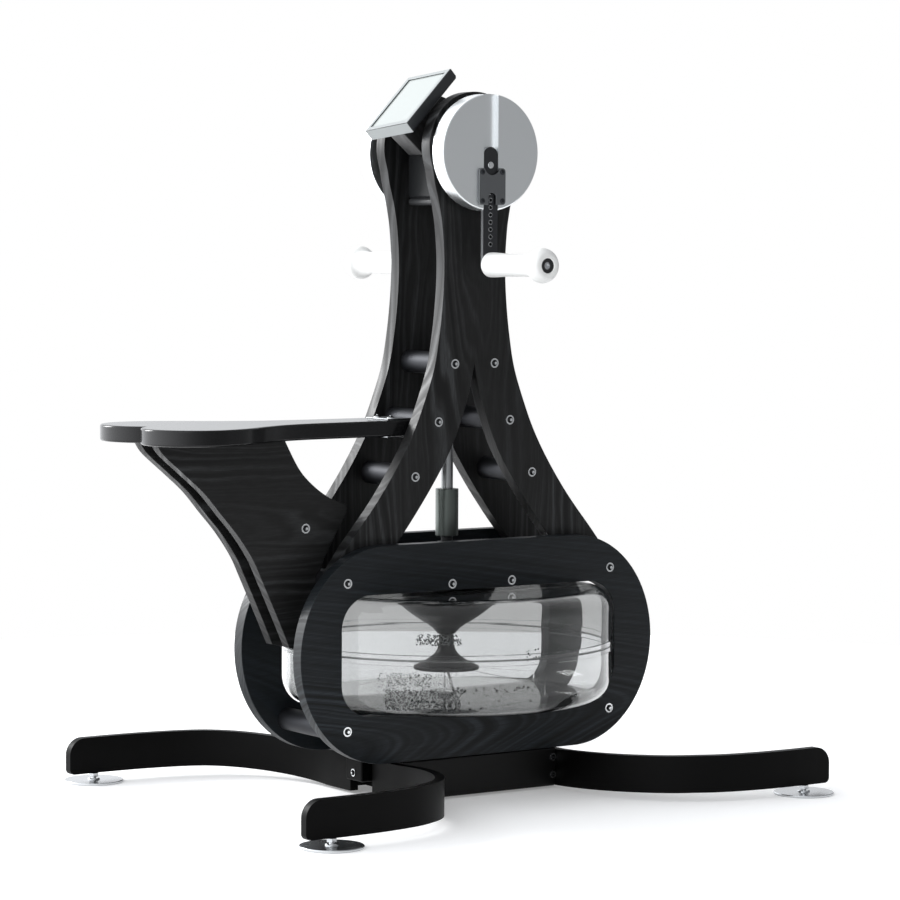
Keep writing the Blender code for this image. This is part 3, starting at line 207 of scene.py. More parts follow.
class ERGO_PG_fastener(bpy.types.PropertyGroup):
    washer: length("Washer", "Radius of the washer", 7.2)
    washer_height: length("Washer height", "Thickness of the washer", 1.0)
    head: length("Head", "Radius of the button head", 4.9)
    head_height: length("Head height", "Height of the button head", 2.6)
    # The bright middle of a head is a painted highlight; the dark head round it is painted
    # reflection
    centre: length("Centre", "Radius of the bright middle of a head", 2.5)


class ERGO_PG_crank(bpy.types.PropertyGroup):
    rim: length("Rim rounding", "Rounded rim of a disc", 3.0)
    groove: length("Groove", "Depth of the groove for the arm", 8.0)
    grip: colour("Grip", "Moulded grips", "dededc")
    grip_radius: length("Grip radius", "Radius of the grip at the arm", 18.5)
    grip_waist: length("Grip waist", "Radius at the grip's waist", 16.8)
    grip_flare: length("Grip flare", "Radius of the flared end", 25.8)


class ERGO_PG_display(bpy.types.PropertyGroup):
    plastic: colour("Plastic", "Display housing", "26282a")
    glass: colour("Screen", "Unlit screen", "a0a5a3")
    # This grey is also a painted reflection on the housing's lower side
    bezel: colour("Bezel", "Frame round the screen", "8f9393")


class ERGO_PG_stage(bpy.types.PropertyGroup):
    bright: amount("Bright side", "Brightness of the studio's bright side", 3.3)
    dim: amount("Dim side", "Brightness of the studio's dim side", 0.34)
    softbox: amount("Softbox", "Power of the upper left softbox", 170.0, subtype="POWER",
                    unit="POWER")
    fill: amount("Fill", "Power of the front fill light", 8.0, subtype="POWER", unit="POWER")
    floor: length("Floor", "Radius of the pale floor", 2100.0, 2)
    lens: amount("Lens", "Focal length of the camera", 137.716, 1.0,
                 subtype="DISTANCE_CAMERA", unit="CAMERA")


# Node trees


def add(tree, kind, inputs=None, **settings):
    """Adds a node with its settings. An input gets its value, or a link from a socket or from
    another node's first output."""
    node = tree.nodes.new(kind)
    for name, value in settings.items():
        setattr(node, name, value)
    for key, value in (inputs or {}).items():
        source = value.outputs[0] if isinstance(value, bpy.types.Node) else value
        if isinstance(source, bpy.types.NodeSocket):
            tree.links.new(source, node.inputs[key])
        else:
            node.inputs[key].default_value = source
    return node


def ranges(value, low, high, new_low, new_high):
    """Inputs that carry a value from one range over to another."""
    return {"Value": value, "From Min": low, "From Max": high, "To Min": new_low,
            "To Max": new_high}


def blank(name):
    """A material of this name with an empty tree, and the tree."""
    made = bpy.data.materials.get(name) or bpy.data.materials.new(name)
    made.use_nodes = True
    made.node_tree.nodes.clear()
    return made, made.node_tree


def surface(tree, **sockets):
    """Ends a material's tree in one Principled shader with these sockets."""
    names = {name.replace("_", " ").title().replace("Ior", "IOR"): value
             for name, value in sockets.items()}
    shader = add(tree, "ShaderNodeBsdfPrincipled", names)
    add(tree, "ShaderNodeOutputMaterial", {"Surface": shader})


def rgba(base):
    """The four values of a linear colour, or of an sRGB hex value."""
    return (*(srgb(base) if isinstance(base, str) else base), 1.0)


def plain(name, base, roughness, metallic=0.0, **more):
    """A finish that is the same all over, apart from more of the shader's sockets."""
    made, tree = blank(name)
    surface(tree, base_color=rgba(base), roughness=roughness, metallic=metallic, **more)
    made.diffuse_color = rgba(base)
    return made


def stained_ash(name, turn, offset, stain, wood, ring=None, gloss=0.24, taper=0.0, swing=15,
                faint=(10, 11), late=None):
    """Ash, planed, sanded and stained black: ring-porous, so dark bands of open pores run
    between lighter late wood, in long lines with arches where the saw met the rings flat.
    Taper is how fast the trunk narrowed along Z, swing in mm how far its rings stray, and
    faint the two distances from its heart, in metres, between which the figure grows weak."""
    made, tree = blank(name)
    place = add(tree, "ShaderNodeTexCoord").outputs["Object"]
    # The trunk's middle lies along Z after this turn, at X = Y = 0
    along = add(tree, "ShaderNodeMapping", {"Vector": place, "Rotation": turn, "Location": offset})
    across = add(tree, "ShaderNodeVectorMath", {0: along, 1: (1.0, 1.0, 0.0)},
                 operation="MULTIPLY")
    depth = add(tree, "ShaderNodeVectorMath", {0: across}, operation="LENGTH").outputs["Value"]
    height = add(tree, "ShaderNodeSeparateXYZ", {"Vector": along}).outputs["Z"]
    narrowed = add(tree, "ShaderNodeMath", {0: height, 1: taper, 2: depth},
                   operation="MULTIPLY_ADD")
    # The trunk was uneven, so the rings swing slowly along the grain
    drawn = add(tree, "ShaderNodeMapping", {"Vector": along, "Scale": (1.0, 1.0, 0.22)})
    strayed = add(tree, "ShaderNodeTexNoise", {
        "Vector": drawn, "Scale": 1 / (75 * MM), "Detail": 2.5, "Roughness": 0.45})
    uneven = add(tree, "ShaderNodeMapRange",
                 ranges(strayed, 0.25, 0.75, -swing * MM, swing * MM))
    ring_depth = add(tree, "ShaderNodeMath", {0: narrowed, 1: uneven}, operation="ADD")
    rings = add(tree, "ShaderNodeTexNoise", {
        "W": ring_depth, "Scale": 1 / (ring or wood.ring), "Detail": 1.5, "Roughness": 0.5},
        noise_dimensions="1D")
    bands = add(tree, "ShaderNodeValToRGB", {"Fac": rings})
    stops = bands.color_ramp.elements
    stops[0].position, stops[0].color = 0.3, rgba(wood.pores)
    stops[1].position, stops[1].color = 0.7, rgba(late or wood.grain)
    stops.new(0.46).color = rgba(stain)
    # Pores are 0.2 mm wide, drawn here at 1.5 mm so that they show
    streaks = add(tree, "ShaderNodeMapping", {"Vector": along, "Scale": (1.0, 1.0, 0.04)})
    pores = add(tree, "ShaderNodeTexNoise", {
        "Vector": streaks, "Scale": 1 / (1.5 * MM), "Detail": 3.0, "Roughness": 0.65})
    # The figure shows clearly in some places and hardly in others
    patches = add(tree, "ShaderNodeTexNoise", {
        "Vector": drawn, "Scale": 1 / (90 * MM), "Detail": 2.0})
    clear = add(tree, "ShaderNodeMapRange", ranges(patches, 0.4, 0.6, 0.2, 1.0))
    heart = add(tree, "ShaderNodeMapRange", ranges(depth, *faint, 1.0, 0.3))
    shown = add(tree, "ShaderNodeMath", {0: clear, 1: heart}, operation="MULTIPLY")
    grained = add(tree, "ShaderNodeMix", {"Factor": shown, "A": rgba(stain), "B": bands},
                  data_type="RGBA").outputs["Result"]
    speckle = add(tree, "ShaderNodeMapRange", ranges(pores, 0.35, 0.65, 0.65, 1.3))
    shaded = add(tree, "ShaderNodeMix", {"Factor": 1.0, "A": grained, "B": speckle},
                 data_type="RGBA", blend_type="MULTIPLY").outputs["Result"]
    bump = add(tree, "ShaderNodeBump", {
        "Height": pores, "Strength": 0.12, "Distance": 0.3 * MM})
    # Late wood takes the oil better than the pores, and shines a little more
    rough = add(tree, "ShaderNodeMapRange", ranges(rings, 0.3, 0.7, 0.52, 0.38))
    surface(tree, base_color=shaded, roughness=rough, specular_ior_level=gloss, normal=bump)
    made.diffuse_color = rgba(stain)
    return made


def powder_coat(name, metal, gloss=0.09):
    """Black polyester powder coat, baked: satin, with a faint orange peel."""
    made, tree = blank(name)
    place = add(tree, "ShaderNodeTexCoord").outputs["Object"]
    peel = add(tree, "ShaderNodeTexNoise", {"Vector": place, "Scale": 1 / (1.5 * MM)})
    bump = add(tree, "ShaderNodeBump", {"Height": peel, "Strength": 0.06, "Distance": 0.2 * MM})
    surface(tree, base_color=rgba(metal.coat), roughness=0.42, specular_ior_level=gloss,
            normal=bump)
    made.diffuse_color = rgba(metal.coat)
    return made


def node_group(name, inputs):
    """A Geometry Nodes tree with these inputs: (name, kind of socket, default). The last input
    is its material."""
    old = bpy.data.node_groups.get(name)
    if old:
        bpy.data.node_groups.remove(old)
    tree = bpy.data.node_groups.new(name, "GeometryNodeTree")
    face = tree.interface
    face.new_socket("Geometry", in_out="INPUT", socket_type="NodeSocketGeometry")
    for label, kind, default in inputs:
        socket = face.new_socket(label, in_out="INPUT", socket_type="NodeSocket" + kind)
        socket.default_value = default
    face.new_socket("Material", in_out="INPUT", socket_type="NodeSocketMaterial")
    face.new_socket("Geometry", in_out="OUTPUT", socket_type="NodeSocketGeometry")
    return tree, add(tree, "NodeGroupInput").outputs


def end_tree(tree, geometry, material):
    """Ends a tree in Realize Instances and Set Material."""
    real = add(tree, "GeometryNodeRealizeInstances", {"Geometry": geometry})
    painted = add(tree, "GeometryNodeSetMaterial", {"Geometry": real, "Material": material})
    add(tree, "NodeGroupOutput", {"Geometry": painted})
    return tree


def end_in_copies(tree, given, shape):
    """Ends a tree in one shape on each point, turned to face as the point says."""
    facing = add(tree, "GeometryNodeInputNamedAttribute", {"Name": "facing"},
                 data_type="FLOAT_VECTOR")
    turn = add(tree, "FunctionNodeAlignRotationToVector", {"Vector": facing}, axis="Z")
    placed = add(tree, "GeometryNodeInstanceOnPoints", {
        "Points": given["Geometry"], "Instance": shape, "Rotation": turn})
    return end_tree(tree, placed, given["Material"])


def screw_tree():
    """A disc with a low cone on it on each point, facing as it says: washer and head."""
    tree, given = node_group("socket_screws", (
        ("Washer radius", "Float", 0.007), ("Washer height", "Float", 0.001),
        ("Head radius", "Float", 0.0049), ("Head height", "Float", 0.0026),
        ("Top share", "Float", 0.66)))
    disc = add(tree, "GeometryNodeMeshCylinder", {
        "Vertices": 40, "Radius": given["Washer radius"], "Depth": given["Washer height"]})
    half = add(tree, "ShaderNodeMath", {0: given["Washer height"], 1: 0.5}, operation="MULTIPLY")
    top_radius = add(tree, "ShaderNodeMath", {0: given["Head radius"], 1: given["Top share"]},
                     operation="MULTIPLY")
    cone = add(tree, "GeometryNodeMeshCone", {
        "Vertices": 40, "Radius Bottom": given["Head radius"], "Radius Top": top_radius,
        "Depth": given["Head height"]})
    screw = add(tree, "GeometryNodeJoinGeometry")
    for part, height in ((disc, half), (cone, given["Washer height"])):
        up = add(tree, "ShaderNodeCombineXYZ", {"Z": height})
        raised = add(tree, "GeometryNodeTransform", {"Geometry": part, "Translation": up})
        tree.links.new(raised.outputs[0], screw.inputs[0])
    return end_in_copies(tree, given, screw)


def rim_tree():
    """A thin ring round the mouth of each hole."""
    tree, given = node_group("hole_rims", (
        ("Hole radius", "Float", 0.003), ("Thickness", "Float", 0.0004)))
    mouth = add(tree, "GeometryNodeCurvePrimitiveCircle", {
        "Resolution": 24, "Radius": given["Hole radius"]})
    wire = add(tree, "GeometryNodeCurvePrimitiveCircle", {
        "Resolution": 8, "Radius": given["Thickness"]})
    ring = add(tree, "GeometryNodeCurveToMesh", {"Curve": mouth, "Profile Curve": wire})
    return end_in_copies(tree, given, ring)


def droplet_tree():
    """Droplets scattered over a patch of the tank's wall, the same on every run."""
    tree, given = node_group("droplets", (
        ("Count", "Int", 100), ("Radius", "Float", 0.25), ("Start", "Float", 0.0),
        ("End", "Float", 1.0), ("Low", "Float", 0.0), ("High", "Float", 0.1),
        ("Drop", "Float", 0.001), ("Seed", "Int", 1)))

    def chance(low, high, step):
        seed = add(tree, "ShaderNodeMath", {0: given["Seed"], 1: step}, operation="ADD")
        found = add(tree, "FunctionNodeRandomValue", {2: low, 3: high, "Seed": seed},
                    data_type="FLOAT")
        return found.outputs[1]

    angle = chance(given["Start"], given["End"], 0)
    height = chance(given["Low"], given["High"], 11)
    place = {"Z": height}
    for axis, operation in (("X", "COSINE"), ("Y", "SINE")):
        share = add(tree, "ShaderNodeMath", {0: angle}, operation=operation)
        place[axis] = add(tree, "ShaderNodeMath", {0: share, 1: given["Radius"]},
                          operation="MULTIPLY")
    on_wall = add(tree, "ShaderNodeCombineXYZ", place)
    points = add(tree, "GeometryNodePoints", {"Count": given["Count"], "Position": on_wall})
    bead = add(tree, "GeometryNodeMeshUVSphere", {"Segments": 8, "Rings": 5, "Radius": 1.0})
    smooth = add(tree, "GeometryNodeSetShadeSmooth", {"Geometry": bead})
    size = add(tree, "ShaderNodeMath", {0: chance(0.65, 1.15, 23), 1: given["Drop"]},
               operation="MULTIPLY")
    flat = add(tree, "ShaderNodeMath", {0: size, 1: 0.6}, operation="MULTIPLY")
    scale = add(tree, "ShaderNodeCombineXYZ", {"X": flat, "Y": size, "Z": size})
    turn = add(tree, "FunctionNodeAxisAngleToRotation", {"Axis": (0, 0, 1), "Angle": angle})
    placed = add(tree, "GeometryNodeInstanceOnPoints", {
        "Points": points, "Instance": smooth, "Rotation": turn, "Scale": scale})
    return end_tree(tree, placed, given["Material"])


def linked(name, data):
    """A new object in the scene for a mesh, curve, light or camera."""
    obj = bpy.data.objects.new(name, data)
    bpy.context.scene.collection.objects.link(obj)
    return obj


def baked(obj):
    """The plain mesh of an object with its modifiers, and the object is deleted."""
    depsgraph = bpy.context.evaluated_depsgraph_get()
    mesh = bpy.data.meshes.new_from_object(obj.evaluated_get(depsgraph))
    obj.modifiers.clear()
    bpy.data.objects.remove(obj)
    return mesh


def grow(name, places, tree, values):
    """The mesh that a node tree makes at these places: (point, direction that it faces)."""
    mesh = bpy.data.meshes.new(name)
    mesh.from_pydata([point for point, _ in places], [], [])
    facing = mesh.attributes.new("facing", "FLOAT_VECTOR", "POINT")
    facing.data.foreach_set("vector", [c for _, way in places for c in way])
    obj = linked(name, mesh)
    modifier = obj.modifiers.new(name, "NODES")
    modifier.node_group = tree
    for item in tree.interface.items_tree:
        if item.in_out == "INPUT" and item.name in values:
            modifier[item.identifier] = values[item.name]
    return baked(obj)


# Shapes


def mesh_from(bm):
    """The finished mesh of a closed body, with its faces pointing out."""
    mesh = bpy.data.meshes.new("shape")
    bmesh.ops.recalc_face_normals(bm, faces=bm.faces)
    if bm.calc_volume(signed=True) < 0:
        bmesh.ops.reverse_faces(bm, faces=bm.faces)
    bm.to_mesh(mesh)
    bm.free()
    return mesh


def arc(centre, radius, start, end, count):
    """Points on an arc, angles in degrees, both ends included."""
    steps = [math.radians(start + (end - start) * i / count) for i in range(count + 1)]
    return [(centre[0] + radius * math.cos(a), centre[1] + radius * math.sin(a)) for a in steps]


def smooth_line(points, steps):
    """Points on a smooth curve through the given ones."""
    out = []
    count = len(points)
    for i in range(count - 1):
        near = [Vector(points[min(max(i + n, 0), count - 1)]) for n in (-1, 0, 1, 2)]
        p0, p1, p2, p3 = near
        for k in range(steps):
            t = k / steps
            point = 0.5 * (2 * p1 + (p2 - p0) * t + (2 * p0 - 5 * p1 + 4 * p2 - p3) * t * t
                           + (3 * p1 - p0 - 3 * p2 + p3) * t ** 3)
            out.append(tuple(point))
    out.append(tuple(points[-1]))
    return out


def turned(profile, steps=96, place=Matrix.Identity(4)):
    """A turned shape: (radius, height) points down the outer side, then up the inside of one
    that is hollow. One that starts on the axis is solid."""
    count = len(profile)
    edges = [(i, i + 1) for i in range(count - 1)]
    if profile[0][0] > 0:
        edges.append((count - 1, 0))
    mesh = bpy.data.meshes.new("profile")
    mesh.from_pydata([(r, 0, h) for r, h in profile], edges, [])
    obj = linked("profile", mesh)
    screw = obj.modifiers.new("turn", "SCREW")
    screw.steps = steps
    screw.render_steps = steps
    screw.use_merge_vertices = True
    screw.merge_threshold = 1e-5
    bm = bmesh.new()
    bm.from_mesh(baked(obj))
    bmesh.ops.remove_doubles(bm, verts=bm.verts, dist=1e-6)
    bm.transform(place)
    return mesh_from(bm)


def side_turn(sign, z):
    """Places a turned shape whose own +Z axis points out of the machine at a height."""
    return Matrix.Translation((0, 0, z)) @ Matrix.Rotation(-sign * math.pi / 2, 4, "X")


def bar(radius, half, place, rounding=0.0008, steps=64):
    """A round bar about its middle, along its own Z axis, with broken edges."""
    profile = [(0, half), (radius - rounding, half), (radius, half - rounding),
               (radius, rounding - half), (radius - rounding, -half), (0, -half)]
    return turned(profile, steps, place)


def board(loops, low, high, plane, rounding=0.0, segments=3):
    """A flat board: closed outlines, the first one the rim and the rest holes, from low to high.

    In plane XZ the thickness runs along Y, in plane XY along Z. Both rims are rounded.
    """
    curve = bpy.data.curves.new("outline", "CURVE")
    curve.dimensions = "2D"
    curve.fill_mode = "BOTH"
    curve.extrude = (high - low) / 2
    for loop in loops:
        spline = curve.splines.new("POLY")
        spline.points.add(len(loop) - 1)
        for point, (u, v) in zip(spline.points, loop):
            point.co = (u, v, 0, 1)
        spline.use_cyclic_u = True
    bm = bmesh.new()
    bm.from_mesh(baked(linked("outline", curve)))
    bmesh.ops.remove_doubles(bm, verts=bm.verts, dist=1e-6)
    bmesh.ops.dissolve_limit(bm, angle_limit=0.001, verts=bm.verts, edges=bm.edges)
    middle = (high + low) / 2
    across = 2
    if plane == "XZ":
        across = 1
        bm.transform(Matrix.Translation((0, middle, 0)) @ Matrix.Rotation(math.pi / 2, 4, "X"))
    else:
        bm.transform(Matrix.Translation((0, 0, middle)))
    bmesh.ops.recalc_face_normals(bm, faces=bm.faces)
    if rounding > 0:
        rims = [e for e in bm.edges if e.calc_face_angle(0) > 0.7
                and abs(e.verts[0].co[across] - e.verts[1].co[across]) < 1e-5]
        bmesh.ops.bevel(bm, geom=rims, offset=rounding, segments=segments, profile=0.5,
                        affect="EDGES", clamp_overlap=True)
    return mesh_from(bm)


def refined(node, rounding):
    """A copy of a CAD node's mesh with its triangles joined and its edges rounded."""
    bm = bmesh.new()
    bm.from_mesh(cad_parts[node].data)
    bmesh.ops.remove_doubles(bm, verts=bm.verts, dist=1e-6)
    bmesh.ops.dissolve_limit(bm, angle_limit=math.radians(1), verts=bm.verts, edges=bm.edges)
    mesh = bpy.data.meshes.new(node)
    bm.to_mesh(mesh)
    bm.free()
    return rounded(mesh, rounding) if rounding else mesh


def rounded(mesh, width, angle=35):
    """The mesh with a Bevel on its edges that are sharper than the angle."""
    obj = linked("rounding", mesh)
    bevel = obj.modifiers.new("rounding", "BEVEL")
    bevel.width = width
    bevel.segments = 2
    bevel.limit_method = "ANGLE"
    bevel.angle_limit = math.radians(angle)
    return baked(obj)


def cut(mesh, cutter):
    """The mesh less a second closed mesh."""
    obj = linked("cut", mesh)
    helper = linked("cutter", cutter)
    modifier = obj.modifiers.new("cut", "BOOLEAN")
    modifier.operation = "DIFFERENCE"
    modifier.solver = "EXACT"
    modifier.object = helper
    made = baked(obj)
    bpy.data.objects.remove(helper)
    return made


def box(low, high):
    """A plain box between two corners."""
    bm = bmesh.new()
    size = [h - l for l, h in zip(low, high)]
    centre = [(h + l) / 2 for l, h in zip(low, high)]
    bmesh.ops.create_cube(bm, size=1,
                          matrix=Matrix.Translation(centre) @ Matrix.Diagonal((*size, 1)))
    return mesh_from(bm)


def gathered(meshes):
    """Several meshes as one."""
    bm = bmesh.new()
    for mesh in meshes:
        bm.from_mesh(mesh)
    made = bpy.data.meshes.new("gathered")
    bm.to_mesh(made)
    bm.free()
    return made


def shifted(mesh):
    """Moves a mesh that was made about the tower's centre to its place in the frame."""
    mesh.transform(Matrix.Translation((TOWER_X, 0, 0)))
    return mesh


def piece(name, mesh, material, body, nodes=(), smooth=40):
    """A finished piece: shaded, painted, riding on its body and standing for its CAD nodes."""
    mesh.name = name
    mesh.materials.clear()
    mesh.materials.append(material)
    if smooth:
        mesh.shade_smooth()
        mesh.set_sharp_from_angle(angle=math.radians(smooth))
        obj = linked(name, mesh)
        weighted = obj.modifiers.new("normals", "WEIGHTED_NORMAL")
        weighted.keep_sharp = True
        mesh = baked(obj)
        mesh.name = name
    obj = linked(name, mesh)
    if nodes:
        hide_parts(*nodes)
    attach(obj, body)


def stand_in(node, mesh, material, body, smooth=40):
    """A piece that takes the place and the name of one CAD node."""
    piece(node.replace("_", "-"), mesh, material, body, (node,), smooth)


def dress(nodes, material, body, rounding=0.0, smooth=40):
    """Finishes these CAD nodes as they are, with rounded edges."""
    for node in nodes:
        stand_in(node, refined(node, rounding), material, body, smooth)


# Pieces


class ErgometerPiece:
    """What the buttons for the pieces share."""

    bl_options = {"REGISTER", "UNDO"}

    def execute(self, context):
        self.build(context.scene)
        return {"FINISHED"}


class ERGO_OT_side_panels(ErgometerPiece, bpy.types.Operator):
    """Two round-ended lower boards with the window for the tank"""

    bl_idname = "ergometer.side_panels"
    bl_label = "Side panels"

    def build(self, scene):
        wood = scene.ergometer_wood
        # Tangential cut, so the growth rings make tall arches under the window
        ash = stained_ash("stained_ash_level", (0.0, math.radians(-85.3), 0.0),
                          (0.1008, 0.1225, 0.1635), wood.panel_stain, wood, 0.8 * wood.ring,
                          taper=0.23, swing=4, faint=(0.07, 0.15), late="272d32")
        window_length, window_height, corner = 0.498, 0.1795, 0.050
        for side, _ in SIDES:
            node = f"side_panel_{side}"
            low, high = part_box(node)
            mid_z = (low.z + high.z) / 2
            radius = (high.z - low.z) / 2
            end_x = (high.x - low.x) / 2 - radius * PANEL_END_SHARE
            half_circle = arc((0, mid_z), radius, -90, 90, 64)
            front_end = [(end_x + x * PANEL_END_SHARE, z) for x, z in half_circle]
            rim = front_end + [(-x, z) for x, z in reversed(front_end)]
            window = []
            side_x, side_z = window_length / 2 - corner, window_height / 2 - corner
            for sx, sz, start in ((1, 1, 0), (-1, 1, 90), (-1, -1, 180), (1, -1, 270)):
                centre = (sx * side_x, mid_z + sz * side_z)
                window += arc(centre, corner, start, start + 90, 24)
            mesh = board([rim, window], *layer(node), "XZ", wood.rounding)
            stand_in(node, shifted(mesh), ash, "frame")


class ERGO_OT_tower_panels(ErgometerPiece, bpy.types.Operator):
    """Two tall boards with a round head, a waist and two curved legs"""

    bl_idname = "ergometer.tower_panels"
    bl_label = "Tower panels"

    def build(self, scene):
        wood = scene.ergometer_wood
        ash = stained_ash("stained_ash_upright", (math.radians(-3.0), 0.0, 0.0),
                          (-0.05, -0.035, 0.1), wood.stain, wood)
        outer = smooth_line([(x, z) for z, x in TOWER_OUTLINE], 8)
        inner = smooth_line([(x, z) for z, x in LEG_INNER_OUTLINE], 8)
        neck_x, neck_z = outer[0]
        start = math.degrees(math.atan2(neck_z - HEAD_Z, neck_x)) + 8
        head = arc((0, HEAD_Z), HEAD_R, start, 180 - start, 72)
        # From the head down the outer edge to the foot, and up the inner edge to the fork
        half = outer + list(TOWER_FOOT) + inner[::-1]
        rim = head + [(-x, z) for x, z in half] + half[::-1][1:]
        bearing_r = 0.0238
        bearing = arc((0, CRANK_Z), bearing_r, 0, 355, 71)
        for side, _ in SIDES:
            node = f"tower_panel_{side}"
            mesh = board([rim, bearing], *layer(node), "XZ", wood.rounding)
            stand_in(node, shifted(mesh), ash, "frame")


class ERGO_OT_cross_bars(ErgometerPiece, bpy.types.Operator):
    """Round bars between the panels, black and satin"""

    bl_idname = "ergometer.cross_bars"
    bl_label = "Rungs and spacers"

    def build(self, scene):
        # Steel bar, turned and black oxide finished: a soft long highlight
        steel = plain("black_oxide_steel", "36373a", 0.52, 1.0)
        names = [f"rung_{level}_{end}" for level in RUNG_PLACES for end, _ in ENDS]
        names += [f"spacer_{level}_{end}" for level in ("top", "bottom") for end, _ in ENDS]
        names.append("seat_support_spacer")
        for node in names:
            low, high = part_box(node)
            place = Matrix.Translation(middle_of(node)) @ ALONG_Y
            mesh = bar((high.z - low.z) / 2, (high.y - low.y) / 2, place)
            stand_in(node, mesh, steel, "frame")


class ERGO_OT_seat(ErgometerPiece, bpy.types.Operator):
    """Lacquered seat board on two stained supports, with its steel clips"""

    bl_idname = "ergometer.seat"
    bl_label = "Seat"

    def build(self, scene):
        wood = scene.ergometer_wood
        metal = scene.ergometer_metal
        # Wood under several coats of black lacquer, rubbed to a gloss: clear reflections
        lacquer = plain("black_lacquer", wood.lacquer, 0.16, 0.0, specular_ior_level=0.3)
        # The lobe begins on the seat's middle line, where it meets its mirror image
        centre, lobe_r = SEAT_LOBE
        start = math.degrees(math.acos(centre[1] / lobe_r))
        near = arc(centre, lobe_r, 270 - start, 75, 48)
        low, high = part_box("seat_board")
        end = (high.x - TOWER_X, SEAT_SIDE[-1][1])
        side = smooth_line([near[-1]] + list(SEAT_SIDE) + [end], 8)[1:]
        half = near + side
        rim = half + [(x, -y) for x, y in reversed(half)][:-1]
        edge_r = 0.006
        mesh = board([rim], low.z, high.z, "XY", edge_r, 5)
        stand_in("seat_board", shifted(mesh), lacquer, "frame")

        ash = stained_ash("stained_ash_seat",
                          (math.radians(82.0), math.radians(-93.0), math.radians(90.0)),
                          (-0.42, -0.045, 0.0), wood.stain, wood)
        front = smooth_line(SUPPORT_FRONT, 8)
        rear = smooth_line(SUPPORT_REAR_LOWER + SUPPORT_HEEL[:1], 4)
        rear += list(SUPPORT_HEEL[1:3]) + smooth_line(SUPPORT_REAR_UPPER, 8)
        spacer = middle_of("spacer_top_rear")
        notch_r = 0.0173
        for side, _ in SIDES:
            node = f"seat_support_{side}"
            low, high = layer(node)
            mesh = board([front + rear], low, high, "XZ", wood.rounding)
            place = Matrix.Translation((spacer.x - TOWER_X, (low + high) / 2, spacer.z)) @ ALONG_Y
            mesh = cut(mesh, bar(notch_r, high - low, place))
            stand_in(node, shifted(mesh), ash, "frame")

        # Steel strip, laser cut and zinc plated: bright, slightly soft
        clip = plain("zinc_plated_strip", metal.bright, 0.28, 1.0)
        dress(("seat_clip_top", "seat_clip_bottom"), clip, "frame")


class ERGO_OT_base(ErgometerPiece, bpy.types.Operator):
    """Powder-coated steel rails, spine and the four curved legs"""

    bl_idname = "ergometer.base"
    bl_label = "Base"

    def build(self, scene):
        # The coat lies thicker on the flat rails and shines more there
        thick = powder_coat("black_powder_coat_rails", scene.ergometer_metal, 0.2)
        coat = powder_coat("black_powder_coat_legs", scene.ergometer_metal, 0.07)
        dress(("base_rail_right", "base_rail_left"), thick, "frame", 0.0008)
        dress(("base_spine",), coat, "frame", 0.0008)
        for end, sign_x in ENDS:
            for side, sign_y in SIDES:
                mesh = shifted(self.leg(sign_x, sign_y))
                stand_in(f"leg_{end}_{side}", mesh, coat, "frame")

    def leg(self, sign_x, sign_y):
        """Flat bar on edge, curved in plan, rising a little to its round outer end."""
        half_thickness = 0.007
        bottom, top = 0.0145, 0.070
        # At its root the bar lies lower by this drop, and it is level from flat_y on
        root_y, root_drop, flat_y = 0.0945, 0.010, 0.3128
        # Radii of the two corners of its outer end
        top_r, bottom_r = 0.026, 0.008
        end = Vector(LEG_PATH[-1])
        along = (end - Vector(LEG_PATH[-2])).normalized()
        line = [Vector(p) for p in smooth_line(LEG_PATH, 8)]
        line = [p for p in line if p.x < end.x - top_r - MM]
        line += [end - along * top_r * (1 - math.cos(math.radians(90 - 7.5 * i)))
                 for i in range(13)]
        bm = bmesh.new()
        rings = []
        for i, point in enumerate(line):
            ahead = line[min(i + 1, len(line) - 1)] - line[max(i - 1, 0)]
            across = Vector((-ahead.y, ahead.x)).normalized() * half_thickness
            left = (end - point).length
            rise, fall = (math.sqrt(max(0, r ** 2 - max(0, r - left) ** 2))
                          for r in (top_r, bottom_r))
            high = top - top_r + rise
            low = bottom + bottom_r - fall
            drop = root_drop * (1 - min(1, max(0, (point.y - root_y) / (flat_y - root_y))))
            rings.append([bm.verts.new((*(point + across * way), z - drop))
                          for way, z in ((1, low), (-1, low), (-1, high), (1, high))])
        for ring, following in zip(rings, rings[1:]):
            for i in range(4):
                j = (i + 1) % 4
                bm.faces.new((ring[i], ring[j], following[j], following[i]))
        bm.faces.new(rings[0])
        bm.faces.new(rings[-1])
        bm.transform(Matrix.Diagonal((sign_x, sign_y, 1, 1)))
        return rounded(mesh_from(bm), 0.0009, 50)


